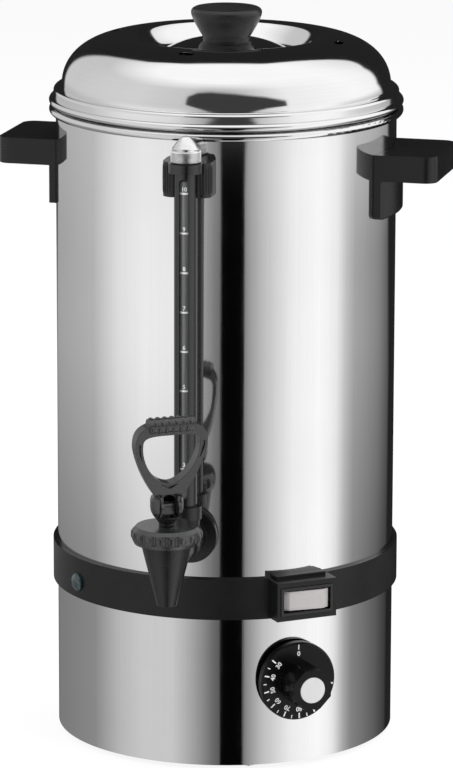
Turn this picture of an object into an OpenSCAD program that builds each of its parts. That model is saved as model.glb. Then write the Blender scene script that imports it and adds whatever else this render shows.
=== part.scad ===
// Hot drink dispenser: a ten litre heated urn with a level gauge, a lift lever tap and a thermostat.
// The origin is on the floor under the urn's axis, +Z is up, the tap points along -Y.

/* [Shell] */
// Outer diameter of the pot and of the base below it
shell_d = 223; // [200:1:260]
// Sheet thickness of pot, base and lid
sheet_t = 0.8; // [0.6:0.1:1.2]
// Height of the feet below the base
foot_h = 3; // [2.6:0.2:6]
// Height of the base, from its hem to the seam under the pot
base_h = 122.8; // [118:0.2:150]
// Height of the pot, from the seam to the middle of the rim bead
pot_h = 291.8; // [250:1:380]
// Height of the pot floor above the seam
floor_rise = 4; // [3.5:0.1:6]
// Radius of the rolled bead on the pot's rim
bead_r = 2.6; // [2.2:0.1:4]
// Width of the hem turned in under the base
hem_w = 13; // [11:0.5:20]

/* [Band] */
// Height of the plastic band round the seam
band_h = 27; // [24:0.5:34]
// Distance of the band's lower edge below the seam
band_below = 23.8; // [21:0.2:26]
// Thickness of the band
band_t = 3; // [2:0.1:4]
// Turn of the switch from the tap
switch_az = 36; // [30:1:60]
// Width of the switch housing on the band
hump_w = 42; // [41:0.5:50]
// Reach of the switch housing from the shell
hump_reach = 15.5; // [14.5:0.5:20]
// Turn of the pilot lamp from the tap
pilot_az = -46; // [-80:1:-30]
// Diameter of the pilot lamp's lens
pilot_d = 12; // [11:0.5:15]

/* [Switch] */
// Width of the rocker
rocker_w = 31.6; // [28:0.2:33]
// Height of the rocker
rocker_h = 12.6; // [11:0.2:14]
// Angle by which the rocker leans to its pressed side
rocker_lean = 6; // [4:0.5:8]
// Diameter of the rocker's pin
rocker_pin_d = 2.4; // [2:0.1:3]

/* [Lid] */
// Radius of the dome where it leaves the ledge
dome_r = 107.7; // [100:0.1:109]
// Radius of the crest round the lid's dish
crest_r = 63; // [50:1:75]
// Height of the dome from its foot to the crest
dome_h = 33.8; // [25:0.2:45]
// Depth of the dish below the crest
dish_depth = 12.2; // [8:0.2:18]
// Radius of the dish's lowest ring
dish_r = 46; // [35:1:50]
// Radius of the knob's seat in the middle
seat_r = 16; // [15.5:0.5:20]
// Drop of the knob's seat below the crest
seat_drop = 2.6; // [1:0.2:6]
// Radius of the bead round the lid
lid_bead_r = 2.2; // [2:0.1:3]
// Height of the step between bead and ledge
step_h = 8.2; // [6:0.2:9]
// Depth of the skirt inside the pot
skirt_h = 9; // [6:0.5:15]
// Diameter of the knob's head
knob_d = 46.4; // [40:0.2:54]
// Height of the knob
knob_h = 22.8; // [18:0.2:30]
// Length of a steam vent
vent_w = 10; // [6:0.5:12]
// Width of a steam vent
vent_h = 5; // [3:0.5:6]
// Radius on which the steam vents lie
vent_ring_r = 77; // [72:1:84]

/* [Handles] */
// Width of a handle
handle_w = 67; // [50:1:75]
// Reach of a handle from the shell
handle_reach = 35.5; // [28:0.1:45]
// Turn of both handles from square to the tap
handle_turn = 3; // [-10:0.5:10]
// Thickness of a handle's grip
grip_t = 17; // [14:0.5:22]
// Height of a handle's back plate
back_h = 42.5; // [36:0.5:60]
// Thickness of a handle's back plate
back_t = 4.6; // [4.5:0.1:9]
// Radius of a grip's outer corners
grip_corner_r = 8; // [4:0.5:14]
// Drop of a handle's top below the rim bead's middle
handle_drop = 20.8; // [15:0.2:40]

/* [Level gauge] */
// Distance of the gauge's axis from the shell
gauge_off = 16.7; // [15.8:0.1:20]
// Outer diameter of the gauge's guard tube
guard_d = 15; // [14:0.2:17]
// Wall of the guard tube
guard_t = 1.5; // [1.2:0.1:2]
// Width of the sight slot in the guard tube
sight_w = 5.8; // [4:0.2:7]
// Outer diameter of the glass
glass_d = 10; // [8:0.2:11]
// Wall of the glass
glass_t = 1.4; // [1:0.1:2]
// Width of the upper bracket
bracket_w = 31.5; // [28:0.5:40]
// Height of the upper bracket
bracket_h = 22.3; // [20:0.1:30]
// Diameter of the dome nut's knurl
nut_d = 19; // [17:0.5:21]
// Drop of the bracket's top below the rim bead's middle
gauge_drop = 13.6; // [10:0.2:30]

/* [Tap] */
// Distance of the tap's axis from the shell
tap_off = 74; // [70:0.5:90]
// Height of the tap's shank above the pot floor
shank_rise = 28.7; // [24:0.1:34]
// Outer diameter of the shank
shank_d = 14; // [12:0.5:16]
// Bore of the shank
shank_bore = 9; // [7:0.5:10]
// Diameter of the gauge block's flange
flange_d = 36; // [30:0.5:40]
// Upper outer diameter of the spout cone
cone_top_d = 33; // [30:0.5:36]
// Lower outer diameter of the spout
cone_tip_d = 12.4; // [12:0.2:16]
// Height of the spout cone
cone_h = 41; // [38:0.5:50]
// Diameter of the bonnet
bonnet_d = 43.5; // [42:0.5:50]
// Height of the bonnet
bonnet_h = 11; // [10:0.5:14]
// Diameter of the lever cup on the bonnet
cup_d = 21; // [20:0.5:26]
// Height of the lever cup
cup_h = 18.7; // [17:0.1:24]
// Turn of the lever from the tap's own direction
lever_az = 31; // [-60:1:60]
// Half width of the lever's loop
loop_w = 23.8; // [21:0.1:28]
// Height of the lever from its pin to its top
loop_h = 60; // [50:0.5:70]
// Width of the loop's arms
arm_w = 5; // [4.5:0.1:8]
// Depth of the loop
loop_t = 7.5; // [7:0.5:10]
// Lean of the lever away from the urn
lever_lean = 8; // [0:1:12]
// Lift of the stem when the lever is pulled
stem_lift = 3.5; // [2:0.1:4]
// Angle through which the lever is pulled
lever_swing = 45; // [40:1:50]

/* [Thermostat] */
// Turn of the thermostat from the tap
dial_az = 35; // [30:1:60]
// Height of the dial's axis above the base's hem
dial_rise = 56.5; // [50:0.5:70]
// Diameter of the dial
dial_d = 52; // [44:1:56]
// Thickness of the dial's disc
dial_t = 5.5; // [4:0.5:8]
// Length of the grip in front of the disc
dial_grip = 22; // [14:0.5:26]
// Width of the grip across its flats
dial_grip_w = 26; // [22:0.5:30]
// Diameter of the light cap on the grip
cap_d = 17; // [14:0.5:20]
// Diameter of the thermostat's shaft
spindle_d = 6; // [5:0.5:7]

/* [Heater] */
// Radius of the heater plate under the pot floor
heater_r = 72; // [60:1:85]
// Thickness of the heater plate
heater_t = 3; // [2:0.5:5]
// Radius on which the element is bent
element_r = 58; // [50:1:64]
// Diameter of the element's sheath
element_d = 8; // [6.5:0.5:9]
// Drop of the heat shield below the pot floor
shield_drop = 34; // [30:1:40]

/* [Lead entry] */
// Height of the lead entry above the base's hem
gland_rise = 26; // [22:1:60]
// Bore of the lead entry
gland_bore = 8.4; // [6:0.2:10]

/* [Hidden] */
$fn = 72;

// Clearances and overruns
cut = 1;              // overrun of every cut
fit_gap = 0.1;        // radial gap of parts that are assembled and stay
run_gap = 0.05;       // radial gap of parts that turn or slide in each other
face_gap = 0.3;       // gap of faces that move past each other
soft_fn = 32;         // facets of small round details

// Levels and radii of the shell
shell_r = shell_d / 2;
inner_r = shell_r - sheet_t;
base_z = foot_h;
seam_z = base_z + base_h;
floor_z = seam_z + floor_rise;
rim_z = seam_z + pot_h;
bead_ring_r = inner_r + bead_r;
collar_low = 2.4;     // reach of the seam collar down into the base
collar_up = 2.8;      // reach of the seam collar up into the pot
collar_t = 1.2;       // thickness of the seam collar

// Small screws: shank diameter, head diameter, head height
screw_d = 3;
screw_head_d = 6;
screw_head_h = 1.8;
screw_len = 8;
bolt_d = 5;
bolt_head_d = 9;
bolt_head_h = 3;

// Base plate and feet
plate_t = 1;
plate_z = base_z + sheet_t;
plate_r = inner_r - fit_gap;
foot_d = 20;
foot_stem_d = 6;
foot_barb_d = 8;
foot_barb_h = 2;
foot_ring_r = shell_r - hem_w - foot_d / 2 - cut;
foot_count = 4;
foot_az = 45;
foot_places = concat([[0, 0]],
    [for (k = [0 : foot_count - 1]) [foot_az + k * 360 / foot_count, foot_ring_r]]);
hem_screw_ring_r = shell_r - hem_w / 2;
hem_screw_az = 20;
slot_count = 6;
slot_w = 4;
slot_len = 24;
slot_ring_r = 22;

// Band and switch housing
band_z = seam_z - band_below;
band_in_r = shell_r + fit_gap;
band_out_r = band_in_r + band_t;
band_screw_az = 28;
hump_r = shell_r + hump_reach;
hump_low = 1.3;       // rise of the housing's underside above the band's lower edge
hump_sink = 0.3;       // drop of the housing's top below the band's upper edge
strip_w = 35;         // width of the strip on top of the housing
strip_h = 2;          // height of that strip
strip_drop = 9;       // distance of the strip behind the housing's front
switch_z = band_z + band_h / 2 + 0.5 * sheet_t;
bezel_wall = 1.9;
bezel_gap_w = 0.8;    // gap beside the rocker, on each side
bezel_gap_h = 1;      // gap above and below the rocker
bezel_open_w = rocker_w + 2 * bezel_gap_w;
bezel_open_h = rocker_h + 2 * bezel_gap_h;
bezel_w = bezel_open_w + 2 * bezel_wall;
bezel_h = bezel_open_h + 2 * bezel_wall;
bezel_depth = 9.4;
bezel_proud = 0.6;
bezel_back_r = hump_r + bezel_proud - bezel_depth;
rocker_pivot_in = 5.2;  // depth of the rocker's pin below the bezel's face
rocker_pivot_r = hump_r + bezel_proud - rocker_pivot_in;
rocker_face = 4.4;    // height of the rocker's face over its pin
rocker_end = 1.8;     // height of the rocker's ends over its pin
rocker_back = 1.2;    // depth of the rocker's back behind its pin
rocker_flat_share = 0.72;
switch_flange_t = 1.2;
switch_w = 28.6;
switch_h = 13.2;
switch_depth = 24;
tab_w = 6.3;
tab_t = 0.8;
tab_len = 8;
tab_pitch = 9;
tab_count = 3;

// Pilot lamp
pilot_z = band_z + 0.4 * band_h;
pilot_body_d = 10;
pilot_bore = 8;
pilot_depth = 24;
pilot_proud = 1.2;
pilot_dome = 1.8;
pilot_stem = 8;

// Thermostat
dial_z = base_z + dial_rise;
dial_back_r = shell_r + screw_head_h + face_gap + 0.5 * sheet_t;
dial_front_r = dial_back_r + dial_t;
grip_front_r = dial_front_r + dial_grip;
cap_t = 1.6;
cap_proud = 0.4;
dial_edge = 1;        // bevel round the dial's face
hub_bore_depth = dial_t + dial_grip - 6;
spindle_in = 20;      // reach of the spindle into the thermostat's body
control_w = 34;
control_depth = 18;
control_front_r = shell_r - 2.9;
neck_d = 10;
control_screw_pitch = 28;
control_screw_len = 7;

// Heater
shield_z = floor_z - shield_drop;
heater_z = floor_z - sheet_t - heater_t;
element_z = heater_z - element_d / 2;
element_gap_angle = 50;
element_sweep = 360 - element_gap_angle;
element_az = 90 + element_gap_angle / 2;
terminal_angle = element_gap_angle / 2 + 4;
shield_r = heater_r + 2;
post_d = 5;
post_ring_r = heater_r - post_d;
post_count = 3;
port_d = 9;
terminal_d = 3;
terminal_bead_d = 7;
terminal_bead_h = 9;
terminal_len = 34;
bulb_d = 6;
bulb_len = 56;
bulb_pitch = 24;
bulb_z = heater_z - bulb_d / 2;
clamp_w = 14;
clamp_over = 3;
clamp_t = 1.5;
clamp_post = 5;

// Capillary tubes from the bulbs to the two controls
capillary_d = 2;

// Boil dry cut-out and its reset button
cutout_x = -46;
cutout_y = 34;
cutout_d = 34;
cutout_h = 20;
cutout_neck_d = 12;
reset_d = 7;
reset_stroke = 1.6;
reset_tip_z = 1;
reset_head_d = 9.4;
reset_head_h = 2;

// Terminal block and earth stud
block_x = 10;
block_y = 58;
block_l = 54;
block_w = 18;
block_h = 18;
way_count = 5;
way_d = 4;
way_depth = 9;
earth_x = 56;
earth_y = 40;
earth_d = 4;
earth_len = 14;
earth_nut_d = 8;
earth_nut_h = 3.2;

// Wires
wire_d = 2.6;
wire_sides = 8;
sweep_steps = 4;

// Lead entry
gland_az = 180;
gland_z = base_z + gland_rise;
gland_thread_d = 16;
gland_flange_d = 24;
gland_flange_t = 5;
gland_thread_in = 12;
gland_thread_out = 9;
gland_cap_d = 22;
gland_cap_l = 13;
gland_nut_d = 22;
gland_nut_t = 5;
gland_nut_in = 2;
gland_seal_d = 12.6;
gland_seal_l = 8;

// Handles
handle_z = rim_z - handle_drop;
handle_r = shell_r + handle_reach;
handle_sides = [-90 - handle_turn, 90 - handle_turn];
back_corner_r = 3;
upper_bolt_drop = 8.5;
lower_bolt_drop = 34;
upper_bolt_in = 14;
lower_bolt_in = 3.4;

// Level gauge
gauge_r = shell_r + gauge_off;
bracket_z = rim_z - gauge_drop - bracket_h;
bracket_top_z = rim_z - gauge_drop;
collar_d = 22.4;
collar_h = 6.2;
collar_z = bracket_top_z - collar_h;
bracket_depth = gauge_off + 1.3;
bracket_corner_r = 7;
guard_bore = guard_d - 2 * guard_t;
sight_top_drop = 9.6; // drop of the sight slot's top below the bracket's top
sight_top_z = bracket_top_z - sight_top_drop;
nut_stud_d = 8;
nut_stud_h = 5.4;
nut_knurl_h = 8.3;
nut_dome_h = 8.9;
nut_groove = 0.5;
bracket_screw_upper = 4.6;
bracket_screw_lower = 17;
bracket_screw_in = 5;

// Gauge block, shank and seals
tap_r = shell_r + tap_off;
shank_z = floor_z + shank_rise;
seal_t = 2;
flange_in_r = shell_r + seal_t;
barrel_d = 23;
block_front = 15;     // reach of the block in front of the gauge's axis
block_out_r = gauge_r + block_front;
shoulder_r = block_out_r + seal_t;
riser_d = 19;
riser_h = 14.7;
riser_top_z = shank_z + riser_h;
riser_bore = 5;
riser_socket_d = 13;
riser_socket_h = 6.5;
lower_nut_d = 21;
lower_nut_h = 8.5;
flange_t = gauge_off - lower_nut_d / 2 - seal_t - face_gap;
gland_ring_h = 5;
glass_in = 5.5;       // reach of the glass down into the riser's socket
shank_in = 9;         // reach of the shank into the pot
shank_nut_d = 24;
shank_nut_t = 5;
inner_seal_d = 22;

// Tap
cone_top_z = shank_z + 13.5;
cone_tip_z = cone_top_z - cone_h;
rim_d = 36;
rim_h = 7;
bonnet_top = 3.6;     // thickness of the bonnet's cap
bonnet_z = cone_top_z;
bonnet_top_z = bonnet_z + bonnet_h;
cone_wall = 2.4;
seat_z = shank_z - shank_bore / 2 - 4;
seat_t = 2.4;
seat_bore = 8;
stem_d = 6;
lug_count = 24;
lug_d = 2.4;
bonnet_lugs = 18;
bonnet_lug_d = 3.2;
neck_ring_d = 20;
seat_cup_d = 13;
seat_cup_h = 5;
seat_stem_in = 3;

// Lever cup, stem head and lever
cup_z = bonnet_top_z + face_gap;
fork_t = 2;           // thickness of each fork plate
head_w = 9;           // width of the stem's head
fork_gap = head_w + face_gap;
fork_w = fork_gap + 2 * fork_t;
cup_slot_w = fork_w + 2 * face_gap;
cam_r = 5.5;
cam_off = stem_lift / sin(lever_swing);
pivot_z = bonnet_top_z + face_gap + 6 + cam_r + face_gap;
slot_floor_z = pivot_z - cam_r - face_gap;
pin_d = 3;
pin_len = fork_w;
head_r = 3.5;
head_down = 4.4;
arch_h = 4;           // height over the pin at which the fork's arch begins
loop_mid = 42;        // height of the loop's widest place over the pin
loop_open_low = 17;   // height of the opening's lowest place over the pin
loop_open_top = 49.6; // height of the opening's top over the pin
loop_low_power = 1.38;
loop_high_power = 3;
open_low_power = 1.8;
open_high_power = 4;
loop_steps = 14;
bar_d = 10;
bar_len = 30;
groove_w = 1.8;
groove_in = 1.2;
web_depth = 7.4;      // reach of the fork's web in front of the pin
spring_d = 12;
spring_wire = 1.2;
spring_turns = 5;
spring_steps = 12;
spring_sides = 6;
spring_z = shank_z + 4;
spring_h = bonnet_top_z - bonnet_top - spring_z - spring_wire;
shoulder_d = 12;
shoulder_t = 1.6;

// Lid: levels and curve of its outer skin
lid_z = rim_z + bead_r + face_gap + lid_bead_r;
lid_bead_ring_r = bead_ring_r + 0.2 * lid_bead_r;
skirt_r = inner_r - 2 * face_gap;
step_r = lid_bead_ring_r - sheet_t;
step_round = 1.8;
ledge_z = lid_z + step_h;
crest_z = ledge_z + dome_h;
seat_z_lid = crest_z - seat_drop;
dish_z = crest_z - dish_depth;
dome_power = 2.25;
dome_steps = 16;
dish_steps = 8;
knob_screw_d = 5;
knob_screw_in = 12;
knob_screw_head_d = 9;
knob_screw_head_h = 3;
washer_d = 16;
washer_t = 1.2;
vent_az = -8;
vent_count = 4;

// Outline of the lid's knob, as shares of its radius and its height
knob_shares = [[0, 0], [0.65, 0], [0.665, 0.04], [0.665, 0.1], [0.68, 0.14], [0.76, 0.27], [0.87, 0.47],
    [0.945, 0.62], [0.985, 0.73], [1, 0.81], [0.99, 0.87], [0.955, 0.92], [0.9, 0.95], [0.85, 0.955],
    [0.6, 0.965], [0.3, 0.985], [0, 1]];
// Outline of the pilot lamp's dome, as shares of its radius and its height
lens_shares = [[0, 0], [1, 0], [0.97, 0.26], [0.87, 0.5], [0.71, 0.71], [0.5, 0.87], [0.26, 0.97],
    [0, 1]];
// Outline of the dome nut's dome, as shares of its radius and its height
nut_shares = [[0, 0], [0.96, 0], [0.93, 0.12], [0.78, 0.36], [0.6, 0.6], [0.42, 0.82], [0.25, 0.94],
    [0, 1]];
// Outline of the lever cup, as shares of its radius and its height
cup_shares = [[0, 0], [0.48, 0], [0.48, 0.08], [0.62, 0.2], [0.82, 0.34], [0.95, 0.48], [1, 0.62],
    [1, 0.9], [0.95, 1], [0, 1]];

// Stations of the wires and tubes: shares of the shell's radius, twice, and of the base's height
feed_shares = [
    [[-0.005, 0.72, 0.24], [-0.008, 0.62, 0.235]],
    [[-0.07, 0.72, 0.22], [-0.1, 0.62, 0.225]]];
earth_shares = [[0.06, 0.77, 0.2], [0.24, 0.72, 0.17], [0.42, 0.6, 0.14], [0.48, 0.47, 0.08]];
switch_shares = [[0.24, 0.36, 0.34], [0.36, 0, 0.47], [0.43, -0.36, 0.56], [0.425, -0.585, 0.7],
    [0.43, -0.59, 0.84]];
control_shares = [[0.38, 0.36, 0.28], [0.55, 0, 0.37], [0.52, -0.3, 0.41]];
element_shares = [[0.13, 0.41, 0.34], [0.24, 0.41, 0.48]];
cutout_shares = [[-0.33, 0.42, 0.4], [-0.27, 0.45, 0.52]];
lamp_shares = [[-0.15, 0.27, 0.4], [-0.36, -0.09, 0.55], [-0.49, -0.38, 0.66],
    [-0.525, -0.51, 0.79]];
link_shares = [[-0.1, 0.36, 0.24], [-0.31, 0.27, 0.28]];
control_tube_shares = [[0.33, -0.13, 0.93], [0.35, -0.145, 0.87], [0.36, -0.16, 0.755],
    [0.375, -0.2, 0.69]];
// Way of the tube above the thermostat: shares of its depth, of the side distance and of the tube
tube_way_shares = [[2.2, 1.75, 3], [0.5, 1, 3], [0.5, 1, 0]];
cutout_tube_shares = [[-0.33, 0.13, 0.93], [-0.35, 0.145, 0.87], [-0.36, 0.18, 0.755],
    [-0.385, 0.24, 0.54]];
function stations(shares) = [for (s = shares) [s[0] * shell_r, s[1] * shell_r, base_z + s[2] * base_h]];

// Ends of the wires, each straight for a short way: in the block, in the lead entry, on an element's
// terminal and on the cut-out
way_top_z = plate_z + plate_t + block_h;
cutout_top_z = plate_z + plate_t + cutout_h;
tab_side = 8;         // distance of a connection from the middle of its control
gland_wire_r = 2.4;   // radius on which the wires lie in the lead entry
function out_from(az, r, side, z) = [r * sin(az) + side * cos(az), side * sin(az) - r * cos(az), z];
function way_end(k, side) = [for (z = [way_top_z - way_depth + cut, way_top_z + wire_d / 2,
        way_top_z + 3 * wire_d])
    [block_x + (k - (way_count - 1) / 2) * block_l / way_count, block_y + side * block_w / 4, z]];
function gland_end(turn) = [for (depth = [gland_thread_in - gland_nut_t, gland_thread_in + gland_nut_t])
    out_from(gland_az, shell_r - depth, gland_wire_r * sin(turn), gland_z + gland_wire_r * cos(turn))];
function terminal_end(side) = [for (drop = [terminal_len + 3 * wire_d, terminal_len + fit_gap])
    [element_r * cos(90 + side * terminal_angle), element_r * sin(90 + side * terminal_angle),
        element_z - element_d / 2 - drop]];
function cutout_end(side) = [for (rise = [fit_gap, 3 * wire_d])
    [cutout_x + tab_side, cutout_y + side * tab_side, cutout_top_z + rise]];
function flipped(p) = [for (i = [len(p) - 1 : -1 : 0]) p[i]];
lead_turn = 360 / 3;  // turn from one wire of the lead to the next
wire_routes = [
    concat(gland_end(0), stations(feed_shares[0]), flipped(way_end(1, 1))),
    concat(gland_end(lead_turn), stations(feed_shares[1]), flipped(way_end(0, 1))),
    concat(gland_end(-lead_turn), stations(earth_shares),
        [[earth_x, earth_y + (earth_d + wire_d) / 2, plate_z + plate_t + earth_nut_h + wire_d / 2]]),
    concat(way_end(3, -1), stations(switch_shares),
        [for (depth = [2 * wire_d, face_gap])
            out_from(switch_az, bezel_back_r - switch_depth - tab_len - depth, 0, switch_z)]),
    concat(way_end(4, -1), stations(control_shares),
        [for (depth = [control_depth + 3 * wire_d, control_depth + fit_gap])
            out_from(dial_az, control_front_r - depth, tab_side, dial_z - tab_side / 2)]),
    concat(way_end(2, -1), stations(element_shares), terminal_end(-1)),
    concat(cutout_end(1), stations(cutout_shares), terminal_end(1)),
    concat(way_end(0, -1), stations(lamp_shares),
        [for (depth = [2 * wire_d, fit_gap])
            out_from(pilot_az, band_out_r - pilot_depth - depth, 0, pilot_z)]),
    concat(way_end(1, -1), stations(link_shares), flipped(cutout_end(-1)))];
function bulb_end(side) = [for (reach = [fit_gap, 1.5 * capillary_d])
    [side * (bulb_len / 2 + reach), -side * bulb_pitch / 2, bulb_z]];
capillary_routes = [
    concat(bulb_end(1), stations(control_tube_shares),
        [for (way = tube_way_shares)
            out_from(dial_az, control_front_r - way[0] * control_depth, way[1] * tab_side,
                dial_z + control_w / 2 + way[2] * capillary_d + fit_gap)]),
    concat(bulb_end(-1), stations(cutout_tube_shares),
        [for (rise = [3 * capillary_d, fit_gap]) [cutout_x, cutout_y, cutout_top_z + rise]])];

// Places things at a turn from the tap, a distance out and a height; its own -Y points outwards
module at_side(az, r, z) {
    rotate([0, 0, az]) translate([0, -r, z]) children();
}

// Turns a shape that stands on the XY plane so that it points outwards
module outwards() {
    rotate([90, 0, 0]) children();
}

// Cylinder along the outward direction, from one distance to another
module radial_rod(az, z, d, r_in, r_out) {
    at_side(az, r_in, z) outwards() cylinder(d = d, h = r_out - r_in);
}

// Box along the outward direction, centred on its side and height
module radial_box(az, z, w, h, r_in, r_out) {
    at_side(az, r_out, z) translate([-w / 2, 0, -h / 2]) cube([w, r_out - r_in, h]);
}

module ring(r_out, r_in, z, h) {
    translate([0, 0, z]) difference() {
        cylinder(r = r_out, h = h, $fn = 144);
        translate([0, 0, -cut]) cylinder(r = r_in, h = h + 2 * cut, $fn = 144);
    }
}

// Revolves an outline given as shares of a radius and a height
module turned(shares, r, h) {
    rotate_extrude() polygon([for (s = shares) [s[0] * r, s[1] * h]]);
}

// Sweeps a round tube along a smooth curve through hand laid points
function curve_at(p, i, t) =
    let (a = p[max(i - 1, 0)], b = p[i], c = p[i + 1], d = p[min(i + 2, len(p) - 1)])
    0.5 * (2 * b + (c - a) * t + (2 * a - 5 * b + 4 * c - d) * t * t
        + (3 * b - a - 3 * c + d) * t * t * t);
function smooth(p, steps) = concat(
    [for (i = [0 : len(p) - 2], k = [0 : steps - 1]) curve_at(p, i, k / steps)], [p[len(p) - 1]]);
function unit(v) = v / norm(v);
function along(p, i) = unit(p[min(i + 1, len(p) - 1)] - p[max(i - 1, 0)]);
function ring_points(p, i, r, n) =
    let (t = along(p, i), u = unit(cross(t, [0.31, 0.87, 0.38])), v = cross(t, u))
    [for (k = [0 : n - 1]) p[i] + r * (cos(360 * k / n) * u + sin(360 * k / n) * v)];
module sweep(p, d, n) {
    m = len(p);
    points = [for (i = [0 : m - 1]) each ring_points(p, i, d / 2, n)];
    sides = [for (i = [0 : m - 2], k = [0 : n - 1], half = [0, 1])
        let (a = i * n + k, b = i * n + (k + 1) % n)
        half == 0 ? [a, b, b + n] : [a, b + n, a + n]];
    low = [for (k = [1 : n - 2]) [0, k + 1, k]];
    high = [for (k = [1 : n - 2]) [(m - 1) * n, (m - 1) * n + k, (m - 1) * n + k + 1]];
    polyhedron(points = points, faces = concat(sides, low, high));
}

// Thickens a path of the lid's skin to the left of its direction
function path_normal(p, i) =
    let (t = unit(p[min(i + 1, len(p) - 1)] - p[max(i - 1, 0)])) [-t[1], t[0]];
function thick(p, t) = concat(p, [for (i = [len(p) - 1 : -1 : 0]) p[i] + t * path_normal(p, i)]);

// Distance from the axis at which a flat face of this width fits inside a round wall
function seat_in(r, w) = sqrt(r * r - w * w / 4);

// Pan head screw standing on z = 0 with its shank pointing down
module screw(d, length, head_d, head_h) {
    cylinder(d = head_d, h = head_h);
    translate([0, 0, -length]) cylinder(d = d, h = length + head_h / 2);
}

module base_shell() {
    color("silver") difference() {
        union() {
            ring(shell_r, inner_r, base_z, base_h);
            ring(shell_r, shell_r - hem_w, base_z, sheet_t);
            ring(inner_r + sheet_t / 2, inner_r - collar_t, seam_z - collar_low, collar_low);
            ring(inner_r - fit_gap, inner_r - collar_t, seam_z - collar_low, collar_low + collar_up);
        }
        radial_rod(dial_az, dial_z, neck_d + 2 * fit_gap, shell_r - hem_w, shell_r + cut);
        for (side = [-1, 1])
            radial_rod(dial_az, dial_z + side * control_screw_pitch / 2, screw_d + 2 * fit_gap,
                shell_r - hem_w, shell_r + cut);
        radial_box(switch_az, switch_z, switch_w + 2 * fit_gap, switch_h + 2 * fit_gap,
            shell_r - hem_w, shell_r + cut);
        radial_rod(pilot_az, pilot_z, pilot_body_d + 2 * fit_gap, shell_r - hem_w, shell_r + cut);
        radial_rod(gland_az, gland_z, gland_thread_d + 2 * fit_gap, shell_r - hem_w, shell_r + cut);
        for (side = [-1, 1])
            radial_rod(gland_az + side * band_screw_az, switch_z, screw_d + 2 * fit_gap,
                shell_r - hem_w, shell_r + cut);
        for (k = [0 : foot_count - 1])
            at_side(hem_screw_az + k * 360 / foot_count, hem_screw_ring_r, base_z - cut)
                cylinder(d = screw_d + 2 * fit_gap, h = sheet_t + 2 * cut);
    }
}

module base_plate() {
    color("gainsboro") difference() {
        translate([0, 0, plate_z]) cylinder(r = plate_r, h = plate_t, $fn = 144);
        for (foot = foot_places)
            at_side(foot[0], foot[1], plate_z - cut)
                cylinder(d = foot_stem_d + 2 * fit_gap, h = plate_t + 2 * cut);
        for (k = [0 : foot_count - 1])
            at_side(hem_screw_az + k * 360 / foot_count, hem_screw_ring_r, plate_z - cut)
                cylinder(d = screw_d + 2 * fit_gap, h = plate_t + 2 * cut);
        for (k = [0 : slot_count - 1])
            at_side(k * 360 / slot_count, slot_ring_r, plate_z - cut)
                translate([-slot_w / 2, -slot_len, 0]) cube([slot_w, slot_len, plate_t + 2 * cut]);
        translate([cutout_x, cutout_y, plate_z - cut])
            cylinder(d = cutout_neck_d + 2 * fit_gap, h = plate_t + 2 * cut);
        translate([earth_x, earth_y, plate_z - cut])
            cylinder(d = earth_d + 2 * fit_gap, h = plate_t + 2 * cut);
    }
}

module feet() {
    color("dimgray") for (foot = foot_places)
        at_side(foot[0], foot[1], 0) {
            cylinder(d = foot_d, h = plate_z);
            cylinder(d = foot_stem_d, h = plate_z + plate_t + foot_barb_h);
            translate([0, 0, plate_z + plate_t]) cylinder(d = foot_barb_d, h = foot_barb_h);
        }
}

module base_plate_screws() {
    color("lightgray") for (k = [0 : foot_count - 1])
        at_side(hem_screw_az + k * 360 / foot_count, hem_screw_ring_r, base_z)
            rotate([180, 0, 0]) screw(screw_d, screw_len, screw_head_d, screw_head_h);
}

module pot() {
    color("silver") difference() {
        union() {
            ring(shell_r, inner_r, seam_z, pot_h);
            translate([0, 0, floor_z - sheet_t])
                cylinder(r = inner_r + sheet_t / 2, h = sheet_t, $fn = 144);
            rotate_extrude($fn = 144) translate([bead_ring_r, rim_z]) circle(r = bead_r, $fn = soft_fn);
        }
        radial_rod(0, shank_z, shank_d + 2 * fit_gap, shell_r - hem_w, shell_r + cut);
        for (drop = [bracket_screw_upper, bracket_screw_lower])
            radial_rod(0, bracket_top_z - drop, screw_d + 2 * fit_gap, shell_r - hem_w, shell_r + cut);
        for (az = handle_sides, drop = [upper_bolt_drop, lower_bolt_drop])
            radial_rod(az, handle_z - drop, bolt_d + 2 * fit_gap, shell_r - hem_w, shell_r + cut);
    }
}

module band() {
    color([0.1, 0.1, 0.1]) difference() {
        union() {
            translate([0, 0, band_z]) cylinder(r = band_out_r, h = band_h, $fn = 144);
            radial_box(switch_az, band_z + (band_h - hump_sink + hump_low) / 2, hump_w,
                band_h - hump_sink - hump_low, shell_r - hump_reach, hump_r);
            radial_box(switch_az, band_z + band_h, strip_w, 2 * strip_h, shell_r - hump_reach,
                hump_r - strip_drop);
        }
        translate([0, 0, band_z - cut])
            cylinder(r = band_in_r, h = band_h + strip_h + 2 * cut, $fn = 144);
        radial_box(switch_az, switch_z, bezel_w + 2 * fit_gap, bezel_h + 2 * fit_gap,
            shell_r - hump_reach, hump_r + cut);
        radial_rod(pilot_az, pilot_z, pilot_body_d + 2 * fit_gap, shell_r - cut, band_out_r + cut);
        for (side = [-1, 1])
            radial_rod(gland_az + side * band_screw_az, switch_z, screw_d + 2 * fit_gap,
                shell_r - cut, band_out_r + cut);
    }
}

module band_screws() {
    color("lightgray") for (side = [-1, 1])
        at_side(gland_az + side * band_screw_az, band_out_r, switch_z)
            outwards() screw(screw_d, screw_len, screw_head_d, screw_head_h);
}

module switch_bezel() {
    color([0.14, 0.14, 0.14]) difference() {
        radial_box(switch_az, switch_z, bezel_w, bezel_h, bezel_back_r, hump_r + bezel_proud);
        radial_box(switch_az, switch_z, bezel_open_w, bezel_open_h, bezel_back_r - cut,
            hump_r + bezel_proud + cut);
        at_side(switch_az, rocker_pivot_r, switch_z - bezel_h / 2 - cut)
            cylinder(d = rocker_pin_d, h = bezel_h + 2 * cut);
    }
}

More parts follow.
